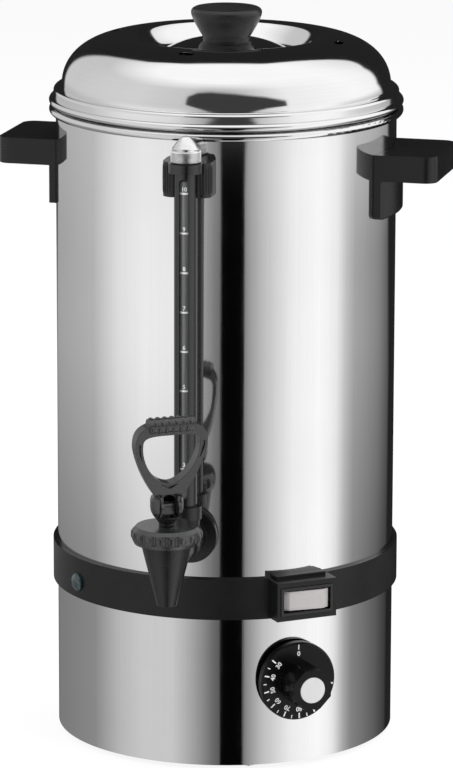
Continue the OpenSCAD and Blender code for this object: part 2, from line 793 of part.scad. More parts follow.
module switch_body() {
    color([0.2, 0.2, 0.2]) union() {
        radial_box(switch_az, switch_z, switch_w, switch_h, bezel_back_r - switch_depth, bezel_back_r);
        difference() {
            radial_box(switch_az, switch_z, bezel_w, bezel_h, bezel_back_r - switch_flange_t,
                bezel_back_r);
            translate([0, 0, band_z]) cylinder(r = band_in_r, h = band_h, $fn = 144);
        }
    }
    color("gold") for (k = [0 : tab_count - 1])
        at_side(switch_az, bezel_back_r - switch_depth, switch_z)
            translate([(k - (tab_count - 1) / 2) * tab_pitch - tab_t / 2, 0, -tab_w / 2])
                cube([tab_t, tab_len, tab_w]);
}

module rocker() {
    color("gainsboro") at_side(switch_az, rocker_pivot_r, switch_z) rotate([0, 0, -rocker_lean])
        translate([0, 0, -rocker_h / 2]) difference() {
            linear_extrude(rocker_h) polygon([
                [-rocker_w / 2, rocker_back - rocker_end], [-rocker_w / 2, -rocker_end],
                [-rocker_w / 2 * rocker_flat_share, -rocker_face],
                [rocker_w / 2 * rocker_flat_share, -rocker_face],
                [rocker_w / 2, -rocker_end], [rocker_w / 2, rocker_back - rocker_end],
                [rocker_pin_d, rocker_back + rocker_pin_d / 2],
                [-rocker_pin_d, rocker_back + rocker_pin_d / 2]]);
            translate([0, 0, -cut]) cylinder(d = rocker_pin_d + 2 * run_gap, h = rocker_h + 2 * cut);
        }
}

module rocker_pin() {
    color("lightgray") at_side(switch_az, rocker_pivot_r, switch_z - bezel_h / 2)
        cylinder(d = rocker_pin_d, h = bezel_h);
}

module pilot_lens() {
    color([0.05, 0.2, 0.2]) {
        radial_rod(pilot_az, pilot_z, pilot_d, band_out_r, band_out_r + pilot_proud);
        at_side(pilot_az, band_out_r + pilot_proud, pilot_z) outwards()
            turned(lens_shares, (pilot_d - pilot_proud) / 2, pilot_dome);
        radial_rod(pilot_az, pilot_z, pilot_bore - 2 * fit_gap, band_out_r - pilot_stem,
            band_out_r + pilot_proud);
    }
}

module pilot_holder() {
    color("ivory") difference() {
        radial_rod(pilot_az, pilot_z, pilot_body_d, band_out_r - pilot_depth, band_out_r);
        radial_rod(pilot_az, pilot_z, pilot_bore, band_out_r - pilot_depth + band_t, band_out_r + cut);
    }
}

module thermostat_knob() {
    color([0.09, 0.09, 0.09]) difference() {
        union() {
            radial_rod(dial_az, dial_z, dial_d, dial_back_r, dial_front_r - dial_edge);
            at_side(dial_az, dial_front_r - dial_edge, dial_z) outwards()
                cylinder(d1 = dial_d, d2 = dial_d - 2 * dial_edge, h = dial_edge);
            at_side(dial_az, dial_front_r - dial_edge, dial_z) outwards() rotate([0, 0, 22.5])
                cylinder(d = dial_grip_w / cos(22.5), h = dial_grip + dial_edge, $fn = 8);
        }
        radial_rod(dial_az, dial_z, spindle_d, dial_back_r - cut, dial_back_r + hub_bore_depth);
        radial_rod(dial_az, dial_z, cap_d + 2 * fit_gap, grip_front_r - cap_t + cap_proud,
            grip_front_r + cut);
    }
}

module knob_cap() {
    color("white")
        radial_rod(dial_az, dial_z, cap_d, grip_front_r - cap_t + cap_proud, grip_front_r + cap_proud);
}

module thermostat_shaft() {
    color("silver")
        radial_rod(dial_az, dial_z, spindle_d, control_front_r - spindle_in + control_depth / 2,
            dial_back_r + hub_bore_depth);
}

module thermostat_body() {
    color("tan") difference() {
        union() {
            radial_box(dial_az, dial_z, control_w, control_w, control_front_r - control_depth,
                control_front_r);
            radial_rod(dial_az, dial_z, neck_d, control_front_r - cut, shell_r);
        }
        radial_rod(dial_az, dial_z, spindle_d + 2 * run_gap,
            control_front_r - spindle_in + control_depth / 2 - face_gap, shell_r + cut);
        for (side = [-1, 1])
            radial_rod(dial_az, dial_z + side * control_screw_pitch / 2, screw_d,
                shell_r - control_screw_len, shell_r + cut);
    }
}

module thermostat_screws() {
    color("lightgray") for (side = [-1, 1])
        at_side(dial_az, shell_r, dial_z + side * control_screw_pitch / 2)
            outwards() screw(screw_d, control_screw_len, screw_head_d, screw_head_h);
}

module capillary_tubes() {
    color("peru") for (path = capillary_routes)
        sweep(smooth(path, sweep_steps), capillary_d, wire_sides);
}

module sensor_bulbs() {
    color("peru") for (side = [-1, 1])
        translate([-bulb_len / 2, side * bulb_pitch / 2, bulb_z])
            rotate([0, 90, 0]) cylinder(d = bulb_d, h = bulb_len);
}

module bulb_clamp() {
    color("lightgray") {
        translate([-clamp_w / 2, -bulb_pitch / 2 - bulb_d / 2 - clamp_over,
            bulb_z - bulb_d / 2 - clamp_t])
            cube([clamp_w, bulb_pitch + bulb_d + 2 * clamp_over, clamp_t]);
        translate([0, 0, bulb_z - bulb_d / 2 - clamp_t]) cylinder(d = clamp_post, h = clamp_t + bulb_d);
    }
}

module heater_plate() {
    color("gainsboro") translate([0, 0, heater_z]) cylinder(r = heater_r, h = heater_t);
}

module heating_element() {
    color("slategray") translate([0, 0, element_z]) rotate([0, 0, element_az])
        rotate_extrude(angle = element_sweep) translate([element_r, 0])
            circle(d = element_d, $fn = soft_fn);
}

// Puts things under one end of the element
module terminal_place(side) {
    rotate([0, 0, 90 + side * terminal_angle]) translate([element_r, 0, 0]) children();
}

module element_terminals() {
    for (side = [-1, 1]) translate([0, 0, element_z - element_d / 2]) terminal_place(side) {
        color("white") translate([0, 0, -terminal_bead_h])
            cylinder(d = terminal_bead_d, h = terminal_bead_h);
        color("silver") translate([0, 0, -terminal_len]) cylinder(d = terminal_d, h = terminal_len);
    }
}

module heat_shield() {
    color("lightsteelblue") difference() {
        union() {
            translate([0, 0, shield_z]) cylinder(r = shield_r, h = sheet_t);
            for (k = [0 : post_count - 1]) at_side(180 + k * 360 / post_count, post_ring_r, shield_z)
                cylinder(d = post_d, h = heater_z - shield_z);
        }
        for (side = [-1, 1]) translate([0, 0, shield_z - cut]) terminal_place(side)
            cylinder(d = port_d, h = sheet_t + 2 * cut);
        for (path = capillary_routes)
            translate([path[4][0], path[4][1], shield_z - cut])
                cylinder(d = port_d, h = sheet_t + 2 * cut);
    }
}

module boil_dry_cutout() {
    color("tan") difference() {
        union() {
            translate([cutout_x, cutout_y, plate_z + plate_t]) cylinder(d = cutout_d, h = cutout_h);
            translate([cutout_x, cutout_y, plate_z]) cylinder(d = cutout_neck_d, h = plate_t + cut);
        }
        translate([cutout_x, cutout_y, plate_z - cut])
            cylinder(d = reset_d + 2 * run_gap, h = plate_t + 2 * cut);
        translate([cutout_x, cutout_y, plate_z + plate_t + cut - face_gap])
            cylinder(d = reset_head_d + 2 * face_gap, h = reset_head_h + reset_stroke + 2 * face_gap);
    }
}

module reset_button() {
    color("firebrick") translate([cutout_x, cutout_y, 0]) {
        translate([0, 0, reset_tip_z])
            cylinder(d = reset_d, h = plate_z + plate_t + cut - reset_tip_z + face_gap);
        translate([0, 0, plate_z + plate_t + cut]) cylinder(d = reset_head_d, h = reset_head_h);
    }
}

module terminal_block() {
    color("ivory") difference() {
        translate([block_x - block_l / 2, block_y - block_w / 2, plate_z + plate_t])
            cube([block_l, block_w, block_h]);
        for (k = [0 : way_count - 1], side = [-1, 1])
            translate([block_x + (k - (way_count - 1) / 2) * block_l / way_count,
                    block_y + side * block_w / 4, plate_z + plate_t + block_h - way_depth])
                cylinder(d = way_d, h = way_depth + cut);
    }
}

module earth_stud() {
    color("gold") translate([earth_x, earth_y, 0]) {
        translate([0, 0, plate_z]) cylinder(d = earth_d, h = earth_len);
        translate([0, 0, plate_z + plate_t]) cylinder(d = earth_nut_d, h = earth_nut_h, $fn = 6);
    }
}

module internal_wires() {
    color("saddlebrown") for (path = wire_routes) sweep(smooth(path, sweep_steps), wire_d, wire_sides);
}

module lead_gland() {
    color([0.12, 0.12, 0.12]) difference() {
        union() {
            radial_rod(gland_az, gland_z, gland_thread_d, shell_r - gland_thread_in,
                shell_r + gland_flange_t + gland_thread_out);
            difference() {
                radial_rod(gland_az, gland_z, gland_flange_d, shell_r - cut, shell_r + gland_flange_t);
                cylinder(r = shell_r, h = seam_z, $fn = 144);
            }
        }
        radial_rod(gland_az, gland_z, gland_bore, shell_r - gland_thread_in - cut,
            shell_r + gland_flange_t + gland_thread_out + cut);
        radial_rod(gland_az, gland_z, gland_seal_d,
            shell_r + gland_flange_t + gland_thread_out - gland_seal_l,
            shell_r + gland_flange_t + gland_thread_out + cut);
    }
}

module gland_cap() {
    cap_r = shell_r + gland_flange_t;
    color([0.12, 0.12, 0.12]) difference() {
        union() {
            radial_rod(gland_az, gland_z, gland_cap_d, cap_r, cap_r + gland_cap_l - gland_flange_t);
            at_side(gland_az, cap_r + gland_cap_l - gland_flange_t, gland_z) outwards()
                cylinder(d1 = gland_cap_d, d2 = gland_seal_d, h = gland_flange_t);
        }
        radial_rod(gland_az, gland_z, gland_thread_d, cap_r - cut, cap_r + gland_thread_out);
        radial_rod(gland_az, gland_z, gland_bore, cap_r - cut, cap_r + gland_cap_l + cut);
    }
}

module gland_nut() {
    color([0.12, 0.12, 0.12]) difference() {
        radial_rod(gland_az, gland_z, gland_nut_d, shell_r - gland_nut_in - gland_nut_t,
            shell_r - gland_nut_in);
        radial_rod(gland_az, gland_z, gland_thread_d, shell_r - hem_w, shell_r);
    }
}

module gland_seal() {
    color("dimgray") difference() {
        radial_rod(gland_az, gland_z, gland_seal_d - 2 * fit_gap,
            shell_r + gland_flange_t + gland_thread_out - gland_seal_l,
                shell_r + gland_flange_t + gland_thread_out);
        radial_rod(gland_az, gland_z, gland_bore, shell_r,
            shell_r + gland_flange_t + gland_thread_out + cut);
    }
}

// One handle, pointing along -Y before it is turned to its side
module handle(az) {
    color([0.1, 0.1, 0.1]) rotate([0, 0, az]) difference() {
        union() {
            translate([-handle_w / 2, -handle_r + grip_corner_r, handle_z - grip_t])
                cube([handle_w, handle_reach + back_corner_r, grip_t]);
            translate([-handle_w / 2 + grip_corner_r, -handle_r, handle_z - grip_t])
                cube([handle_w - 2 * grip_corner_r, grip_corner_r + cut, grip_t]);
            for (side = [-1, 1])
                translate([side * (handle_w / 2 - grip_corner_r), -handle_r + grip_corner_r,
                    handle_z - grip_t])
                    cylinder(r = grip_corner_r, h = grip_t, $fn = soft_fn);
            intersection() {
                translate([0, 0, handle_z - back_h])
                    cylinder(r = shell_r + back_t, h = back_h, $fn = 144);
                translate([0, -shell_r + handle_w / 2, 0]) rotate([90, 0, 0])
                    linear_extrude(handle_w) {
                        translate([-handle_w / 2, handle_z - back_h + back_corner_r])
                            square([handle_w, back_h - back_corner_r]);
                        translate([-handle_w / 2 + back_corner_r, handle_z - back_h])
                            square([handle_w - 2 * back_corner_r, back_h]);
                        for (side = [-1, 1])
                            translate([side * (handle_w / 2 - back_corner_r),
                                handle_z - back_h + back_corner_r])
                                circle(r = back_corner_r, $fn = soft_fn);
                    }
            }
        }
        translate([0, 0, handle_z - back_h - cut])
            cylinder(r = shell_r, h = back_h + 2 * cut, $fn = 144);
        radial_rod(0, handle_z - upper_bolt_drop, bolt_d, shell_r - cut, shell_r + upper_bolt_in);
        radial_rod(0, handle_z - lower_bolt_drop, bolt_d, shell_r - cut, shell_r + lower_bolt_in);
    }
}

module left_handle() {
    handle(handle_sides[0]);
}

module right_handle() {
    handle(handle_sides[1]);
}

module handle_screws() {
    color("lightgray") for (az = handle_sides,
            bolt = [[upper_bolt_drop, upper_bolt_in], [lower_bolt_drop, lower_bolt_in]])
        at_side(az, seat_in(inner_r, bolt_head_d), handle_z - bolt[0]) rotate([-90, 0, 0])
            screw(bolt_d, bolt[1] + sheet_t, bolt_head_d, bolt_head_h);
}

module gauge_bracket() {
    color([0.1, 0.1, 0.1]) difference() {
        union() {
            translate([-bracket_w / 2, -shell_r - bracket_depth + bracket_corner_r, bracket_z])
                cube([bracket_w, bracket_depth, bracket_h]);
            translate([-bracket_w / 2 + bracket_corner_r, -shell_r - bracket_depth, bracket_z])
                cube([bracket_w - 2 * bracket_corner_r, bracket_depth, bracket_h]);
            for (side = [-1, 1])
                translate([side * (bracket_w / 2 - bracket_corner_r),
                    -shell_r - bracket_depth + bracket_corner_r, bracket_z])
                    cylinder(r = bracket_corner_r, h = bracket_h);
        }
        translate([0, 0, bracket_z - cut]) cylinder(r = shell_r, h = bracket_h + 2 * cut, $fn = 144);
        at_side(0, gauge_r, bracket_z - cut)
            cylinder(d = guard_d + 2 * fit_gap, h = bracket_h + 2 * cut);
        at_side(0, gauge_r, collar_z) cylinder(d = collar_d + 2 * fit_gap, h = collar_h + cut);
        for (drop = [bracket_screw_upper, bracket_screw_lower])
            radial_rod(0, bracket_top_z - drop, screw_d, shell_r - cut, shell_r + bracket_screw_in);
    }
}

module gauge_bracket_screws() {
    color("lightgray") for (drop = [bracket_screw_upper, bracket_screw_lower])
        at_side(0, seat_in(inner_r, screw_head_d), bracket_top_z - drop) rotate([-90, 0, 0])
            screw(screw_d, bracket_screw_in + sheet_t, screw_head_d, screw_head_h);
}

module gauge_guard() {
    guard_z = riser_top_z + fit_gap;
    color([0.1, 0.1, 0.1]) at_side(0, gauge_r, 0) difference() {
        union() {
            translate([0, 0, guard_z]) cylinder(d = guard_d, h = bracket_top_z - guard_z);
            translate([0, 0, collar_z]) cylinder(d = collar_d, h = collar_h);
        }
        translate([0, 0, guard_z - cut]) cylinder(d = guard_bore, h = collar_z - guard_z + 2 * cut);
        translate([0, 0, collar_z]) cylinder(d = nut_stud_d + 2 * fit_gap, h = collar_h + cut);
        translate([-sight_w / 2, -guard_d, riser_top_z + lower_nut_h + sight_w])
            cube([sight_w, guard_d, sight_top_z - riser_top_z - lower_nut_h - 1.5 * sight_w]);
        translate([0, 0, sight_top_z - sight_w / 2]) outwards() cylinder(d = sight_w, h = guard_d);
    }
}

module gauge_glass() {
    glass_z = riser_top_z - glass_in;
    color([0.8, 0.85, 0.9, 0.5]) at_side(0, gauge_r, glass_z) difference() {
        cylinder(d = glass_d, h = collar_z - glass_z);
        translate([0, 0, -cut]) cylinder(d = glass_d - 2 * glass_t, h = collar_z - glass_z + 2 * cut);
    }
}

module gauge_seals() {
    color("dimgray") for (seal = [[riser_top_z, riser_socket_d], [collar_z, guard_bore]])
        at_side(0, gauge_r, seal[0] - gland_ring_h) difference() {
            cylinder(d = seal[1] - 2 * fit_gap, h = gland_ring_h);
            translate([0, 0, -cut]) cylinder(d = glass_d, h = gland_ring_h + 2 * cut);
        }
}

module gauge_lower_nut() {
    color([0.1, 0.1, 0.1]) at_side(0, gauge_r, riser_top_z) difference() {
        cylinder(d = lower_nut_d, h = lower_nut_h);
        translate([0, 0, -cut]) cylinder(d = guard_d + 2 * fit_gap, h = lower_nut_h + 2 * cut);
        for (k = [0 : lug_count - 1])
            rotate([0, 0, (k + 0.5) * 360 / lug_count])
                translate([lower_nut_d / 2 + lug_d / 4, 0, -cut])
                cylinder(d = lug_d / 2 + fit_gap, h = lower_nut_h + 2 * cut, $fn = 16);
    }
}

module gauge_dome_nut() {
    color("silver") at_side(0, gauge_r, bracket_top_z) {
        difference() {
            cylinder(d = nut_d, h = nut_knurl_h);
            for (k = [0 : lug_count - 1])
                rotate([0, 0, k * 360 / lug_count]) translate([nut_d / 2 + nut_groove / 2, 0, -cut])
                    cylinder(d = 2 * nut_groove, h = nut_knurl_h - nut_groove + cut, $fn = 16);
        }
        translate([0, 0, nut_knurl_h]) turned(nut_shares, nut_d / 2, nut_dome_h);
        translate([0, 0, -nut_stud_h]) cylinder(d = nut_stud_d, h = nut_stud_h + nut_groove);
    }
}

module gauge_block() {
    color([0.1, 0.1, 0.1]) difference() {
        union() {
            radial_rod(0, shank_z, flange_d, flange_in_r, flange_in_r + flange_t);
            radial_rod(0, shank_z, barrel_d, flange_in_r, block_out_r);
            at_side(0, gauge_r, shank_z) cylinder(d = riser_d, h = riser_h);
        }
        radial_rod(0, shank_z, shank_d + 2 * fit_gap, flange_in_r - cut, block_out_r + cut);
        at_side(0, gauge_r, shank_z) cylinder(d = riser_bore, h = riser_h + cut);
        at_side(0, gauge_r, riser_top_z - riser_socket_h)
            cylinder(d = riser_socket_d, h = riser_socket_h + cut);
    }
}

module shank_seals() {
    color("dimgray") difference() {
        union() {
            difference() {
                radial_rod(0, shank_z, flange_d, shell_r - seal_t, flange_in_r);
                translate([0, 0, seam_z]) cylinder(r = shell_r, h = pot_h, $fn = 144);
            }
            radial_rod(0, shank_z, barrel_d, block_out_r, shoulder_r);
            intersection() {
                radial_rod(0, shank_z, inner_seal_d, inner_r - seal_t, shell_r);
                translate([0, 0, seam_z]) cylinder(r = inner_r, h = pot_h, $fn = 144);
            }
        }
        radial_rod(0, shank_z, shank_d + 2 * fit_gap, inner_r - seal_t - cut, shoulder_r + cut);
    }
}

module shank_nut() {
    color("silver") difference() {
        at_side(0, inner_r - seal_t - shank_nut_t, shank_z) outwards()
            cylinder(d = shank_nut_d, h = shank_nut_t, $fn = 6);
        radial_rod(0, shank_z, shank_d, inner_r - seal_t - shank_nut_t - cut, inner_r);
    }
}

module tap_body() {
    taper = (cone_top_d - cone_tip_d) / cone_h;
    seat_top_z = seat_z + seat_t;
    color([0.22, 0.22, 0.23]) difference() {
        union() {
            radial_rod(0, shank_z, shank_d, inner_r - shank_in, tap_r);
            radial_rod(0, shank_z, neck_ring_d, shoulder_r, tap_r);
            at_side(0, tap_r, cone_tip_z) cylinder(d1 = cone_tip_d, d2 = cone_top_d, h = cone_h);
            at_side(0, tap_r, cone_top_z) cylinder(d = rim_d, h = rim_h);
        }
        radial_rod(0, shank_z, shank_bore, inner_r - shank_in - cut, tap_r);
        at_side(0, gauge_r, shank_z) cylinder(d = riser_bore, h = shank_d);
        at_side(0, tap_r, seat_top_z) cylinder(
            d1 = cone_tip_d + taper * (seat_top_z - cone_tip_z) - 2 * cone_wall,
            d2 = cone_top_d - 2 * cone_wall, h = cone_top_z - seat_top_z);
        at_side(0, tap_r, cone_top_z - fit_gap)
            cylinder(d = cone_top_d - 2 * cone_wall, h = rim_h + cut);
        at_side(0, tap_r, cone_tip_z - cut) cylinder(d = seat_bore, h = cone_h);
    }
}

module tap_bonnet() {
    color([0.22, 0.22, 0.23]) at_side(0, tap_r, 0) difference() {
        translate([0, 0, bonnet_z]) {
            cylinder(d1 = bonnet_d - lug_d, d2 = bonnet_d, h = lug_d);
            translate([0, 0, lug_d]) cylinder(d = bonnet_d, h = bonnet_h - 2 * lug_d);
            translate([0, 0, bonnet_h - lug_d])
                cylinder(d1 = bonnet_d, d2 = bonnet_d - 2 * lug_d, h = lug_d);
        }
        translate([0, 0, bonnet_z - cut])
            cylinder(d = rim_d + 2 * fit_gap, h = bonnet_h - bonnet_top + cut);
        translate([0, 0, bonnet_z]) cylinder(d = stem_d + 2 * run_gap, h = bonnet_h + cut);
        for (k = [0 : bonnet_lugs - 1])
            rotate([0, 0, k * 360 / bonnet_lugs])
                translate([bonnet_d / 2 + bonnet_lug_d / 4, 0, bonnet_z + lug_d])
                cylinder(d = bonnet_lug_d, h = bonnet_h - 2 * lug_d, $fn = 16);
    }
}

module seat_cup() {
    color("whitesmoke") at_side(0, tap_r, seat_z + seat_t + fit_gap) difference() {
        cylinder(d1 = seat_cup_d - seat_stem_in, d2 = seat_cup_d, h = seat_cup_h);
        translate([0, 0, seat_cup_h - seat_stem_in]) cylinder(d = stem_d, h = seat_stem_in + cut);
    }
}

module tap_stem() {
    foot_z = seat_z + seat_t + fit_gap + seat_cup_h - seat_stem_in;
    color("silver") at_side(0, tap_r, 0) difference() {
        union() {
            translate([0, 0, foot_z]) cylinder(d = stem_d, h = pivot_z - head_down - foot_z + cut);
            translate([0, 0, spring_z - shoulder_t]) cylinder(d = shoulder_d, h = shoulder_t);
            rotate([0, 0, lever_az]) translate([-head_w / 2, 0, pivot_z]) {
                rotate([0, 90, 0]) cylinder(r = head_r, h = head_w);
                translate([0, -head_r, -head_down]) cube([head_w, 2 * head_r, head_down]);
            }
        }
        rotate([0, 0, lever_az]) translate([-head_w / 2 - cut, 0, pivot_z]) rotate([0, 90, 0])
            cylinder(d = pin_d, h = head_w + 2 * cut);
    }
}

module tap_spring() {
    rings = spring_turns * spring_steps;
    coil = [for (k = [0 : rings])
        let (a = 360 * k / spring_steps)
        [(spring_d - spring_wire) / 2 * cos(a), (spring_d - spring_wire) / 2 * sin(a),
            spring_wire / 2 + spring_h * k / rings]];
    color("silver") at_side(0, tap_r, spring_z) sweep(coil, spring_wire, spring_sides);
}

module lever_cup() {
    color([0.22, 0.22, 0.23]) at_side(0, tap_r, cup_z) rotate([0, 0, lever_az]) difference() {
        turned(cup_shares, cup_d / 2, cup_h);
        translate([0, 0, -cut]) cylinder(d = stem_d + 2 * run_gap, h = cup_h + 2 * cut);
        translate([-cup_slot_w / 2, -cup_d, slot_floor_z - cup_z])
            cube([cup_slot_w, cup_d + cam_r + face_gap, cup_h]);
    }
}

// Half outline of the loop: widest at loop_mid, rounder or squarer by its powers
function egg(half_w, low, high, mid, p_low, p_high, n) = [for (k = [0 : 4 * n - 1])
    let (a = 90 * k / n, c = cos(a), s = sin(a), p = s < 0 ? p_low : p_high,
        b = s < 0 ? mid - low : high - mid)
    [half_w * sign(c) * pow(abs(c), 2 / p), mid + b * sign(s) * pow(abs(s), 2 / p)]];

module tap_lever() {
    color([0.22, 0.22, 0.23]) at_side(0, tap_r, pivot_z) rotate([0, 0, lever_az]) difference() {
        union() {
            rotate([lever_lean, 0, 0]) difference() {
                union() {
                    translate([0, loop_t / 2, 0]) rotate([90, 0, 0]) linear_extrude(loop_t)
                        difference() {
                        polygon(egg(loop_w, 0, loop_h - bar_d / 4, loop_mid, loop_low_power,
                            loop_high_power, loop_steps));
                        polygon(egg(loop_w - arm_w, loop_open_low, loop_open_top, loop_mid,
                            open_low_power, open_high_power, loop_steps));
                        translate([-loop_w, -loop_mid]) square([2 * loop_w, loop_mid + arch_h + cam_r]);
                    }
                    translate([-bar_len / 2, 0, loop_h - bar_d / 2]) rotate([0, 90, 0])
                        cylinder(d = bar_d, h = bar_len);
                }
                for (side = [0, 1]) mirror([0, side, 0])
                    translate([0, -loop_t / 2 + groove_in, 0]) rotate([90, 0, 0]) linear_extrude(loop_t)
                        difference() {
                            polygon(egg(loop_w - (arm_w - groove_w) / 2,
                                loop_open_low - (arm_w + groove_w) / 2, loop_open_top, loop_mid,
                                loop_low_power, loop_high_power, loop_steps));
                            polygon(egg(loop_w - (arm_w + groove_w) / 2,
                                loop_open_low - (arm_w - groove_w) / 2, loop_open_top + cut,
                                loop_mid, open_low_power, open_high_power, loop_steps));
                            translate([-loop_w, loop_open_top - bar_d / 2])
                                square([2 * loop_w, loop_h]);
                        }
            }
            translate([-fork_w / 2, -loop_t / 2, arch_h])
                cube([fork_w, loop_t / 2 + cam_r, cam_r + arch_h]);
            for (side = [-1, 1]) translate([side * (fork_gap + fork_t) / 2 - fork_t / 2, 0, 0])
                rotate([90, 0, 90]) linear_extrude(fork_t) {
                    circle(r = cam_r);
                    translate([-cam_off, 0]) circle(r = cam_r);
                    translate([-web_depth, 0]) square([web_depth + cam_r, 2 * arch_h]);
                    translate([-cam_off, -cam_r]) square([cam_off, cam_r]);
                }
        }
        translate([-fork_w / 2 - cut, 0, 0]) rotate([0, 90, 0])
            cylinder(d = pin_d + 2 * run_gap, h = fork_w + 2 * cut);
        translate([-fork_gap / 2, -2 * web_depth, -cam_r - cut])
            cube([fork_gap, 4 * web_depth, cam_r + cut + arch_h]);
        translate([0, 2 * web_depth, arch_h]) rotate([90, 0, 0])
            cylinder(d = fork_gap, h = 4 * web_depth);
    }
}

module lever_pin() {
    color("silver") at_side(0, tap_r, pivot_z) rotate([0, 0, lever_az])
        translate([-pin_len / 2, 0, 0]) rotate([0, 90, 0]) cylinder(d = pin_d, h = pin_len);
}

function dome_path() = [for (k = [0 : dome_steps])
    let (a = 90 * k / dome_steps)
    [crest_r + (dome_r - crest_r) * pow(cos(a), 2 / dome_power),
        ledge_z + dome_h * pow(sin(a), 2 / dome_power)]];
function dish_path() = [for (k = [1 : dish_steps])
    let (u = k / dish_steps)
    [crest_r + (dish_r - crest_r) * u, dish_z + dish_depth * (1 + cos(180 * u)) / 2]];
function cone_path() = [for (k = [1 : dish_steps])
    let (u = k / dish_steps)
    [dish_r + (seat_r - dish_r) * u, dish_z + (seat_z_lid - dish_z) * sin(90 * u)]];
function step_path() = [for (k = [0 : 4])
    [step_r - step_round + step_round * cos(22.5 * k),
        ledge_z - step_round + step_round * sin(22.5 * k)]];

module lid() {
    skin = concat([[step_r, lid_z]], step_path(), dome_path(), dish_path(), cone_path(),
        [[0, seat_z_lid]]);
    color("silver") difference() {
        union() {
            rotate_extrude($fn = 144) polygon(thick(skin, sheet_t));
            rotate_extrude($fn = 144) translate([lid_bead_ring_r, lid_z])
                circle(r = lid_bead_r, $fn = soft_fn);
            ring(lid_bead_ring_r, skirt_r - sheet_t, lid_z - sheet_t / 2, sheet_t);
            ring(skirt_r, skirt_r - sheet_t, lid_z - lid_bead_r - skirt_h, lid_bead_r + skirt_h);
        }
        translate([0, 0, seat_z_lid - dish_depth])
            cylinder(d = knob_screw_d + 2 * fit_gap, h = 2 * dish_depth);
        for (k = [0 : vent_count - 1]) at_side(vent_az + k * 360 / vent_count, vent_ring_r, ledge_z)
            linear_extrude(2 * dome_h) {
                square([vent_w - vent_h, vent_h], center = true);
                for (side = [-1, 1]) translate([side * (vent_w - vent_h) / 2, 0])
                    circle(d = vent_h, $fn = soft_fn);
            }
    }
}

module lid_knob() {
    color([0.12, 0.12, 0.12]) translate([0, 0, seat_z_lid]) difference() {
        turned(knob_shares, knob_d / 2, knob_h);
        translate([0, 0, -cut]) cylinder(d = knob_screw_d, h = knob_screw_in + cut);
    }
}

module lid_knob_screw() {
    color("lightgray") translate([0, 0, seat_z_lid - sheet_t - washer_t]) rotate([180, 0, 0])
        screw(knob_screw_d, knob_screw_in + sheet_t + washer_t, knob_screw_head_d, knob_screw_head_h);
}

module lid_knob_washer() {
    color("gainsboro") ring(washer_d / 2, knob_screw_d / 2 + fit_gap, seat_z_lid - sheet_t - washer_t,
        washer_t);
}

base_shell();
base_plate();
feet();
base_plate_screws();
pot();
band();
band_screws();
switch_bezel();
switch_body();
rocker();
rocker_pin();
pilot_lens();
pilot_holder();
thermostat_knob();
knob_cap();
thermostat_shaft();
thermostat_body();
thermostat_screws();
capillary_tubes();
sensor_bulbs();
bulb_clamp();
heater_plate();
heating_element();
element_terminals();
heat_shield();
boil_dry_cutout();
reset_button();
terminal_block();
earth_stud();
internal_wires();
lead_gland();
gland_cap();
gland_nut();
gland_seal();
left_handle();
right_handle();
handle_screws();
gauge_bracket();
gauge_bracket_screws();
gauge_guard();
gauge_glass();
gauge_seals();
gauge_lower_nut();
gauge_dome_nut();
gauge_block();
shank_seals();
shank_nut();
tap_body();
tap_bonnet();
seat_cup();
tap_stem();
tap_spring();
lever_cup();
tap_lever();
lever_pin();
lid();
lid_knob();
lid_knob_screw();
lid_knob_washer();
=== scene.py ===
import bpy
import math
from mathutils import Matrix, Quaternion, Vector


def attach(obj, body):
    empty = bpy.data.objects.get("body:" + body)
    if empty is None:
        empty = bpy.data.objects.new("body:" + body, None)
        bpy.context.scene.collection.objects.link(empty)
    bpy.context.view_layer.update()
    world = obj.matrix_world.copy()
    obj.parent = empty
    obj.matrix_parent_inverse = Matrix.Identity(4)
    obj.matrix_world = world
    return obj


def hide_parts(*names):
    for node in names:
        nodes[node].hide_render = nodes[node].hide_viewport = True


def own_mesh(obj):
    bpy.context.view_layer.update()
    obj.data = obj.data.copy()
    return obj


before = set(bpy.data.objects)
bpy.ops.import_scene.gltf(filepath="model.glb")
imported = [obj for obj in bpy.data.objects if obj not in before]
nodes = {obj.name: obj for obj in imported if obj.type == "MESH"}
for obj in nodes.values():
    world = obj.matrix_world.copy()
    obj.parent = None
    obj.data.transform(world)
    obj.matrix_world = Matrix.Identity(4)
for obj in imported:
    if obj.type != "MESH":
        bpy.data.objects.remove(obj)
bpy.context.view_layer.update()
print("frame loaded:", len(nodes), "nodes")

# ---- places shared by several pieces, in metres, as the solids have them
urn = dict(shellRadius=0.1115, tapOut=0.1855, gaugeOut=0.1282, dialTurn=35.0, dialHeight=0.0595,
           dialFace=0.1195, leverTurn=31.0, pivotHeight=0.1951, leverLean=8.0)
nothing = 1e-6  # a radius below this is a point


def place(turn, out, height):
    # a frame whose -Y points away from the urn's axis, turned from the tap
    return Matrix.Rotation(math.radians(turn), 4, "Z") @ Matrix.Translation((0, -out, height))


def newMesh(name, verts, faces, smooth=True):
    mesh = bpy.data.meshes.new(name)
    mesh.from_pydata([tuple(v) for v in verts], [], faces)
    mesh.validate()
    mesh.update()
    for p in mesh.polygons:
        p.use_smooth = smooth
    thing = bpy.data.objects.new(name, mesh)
    bpy.context.collection.objects.link(thing)
    return thing


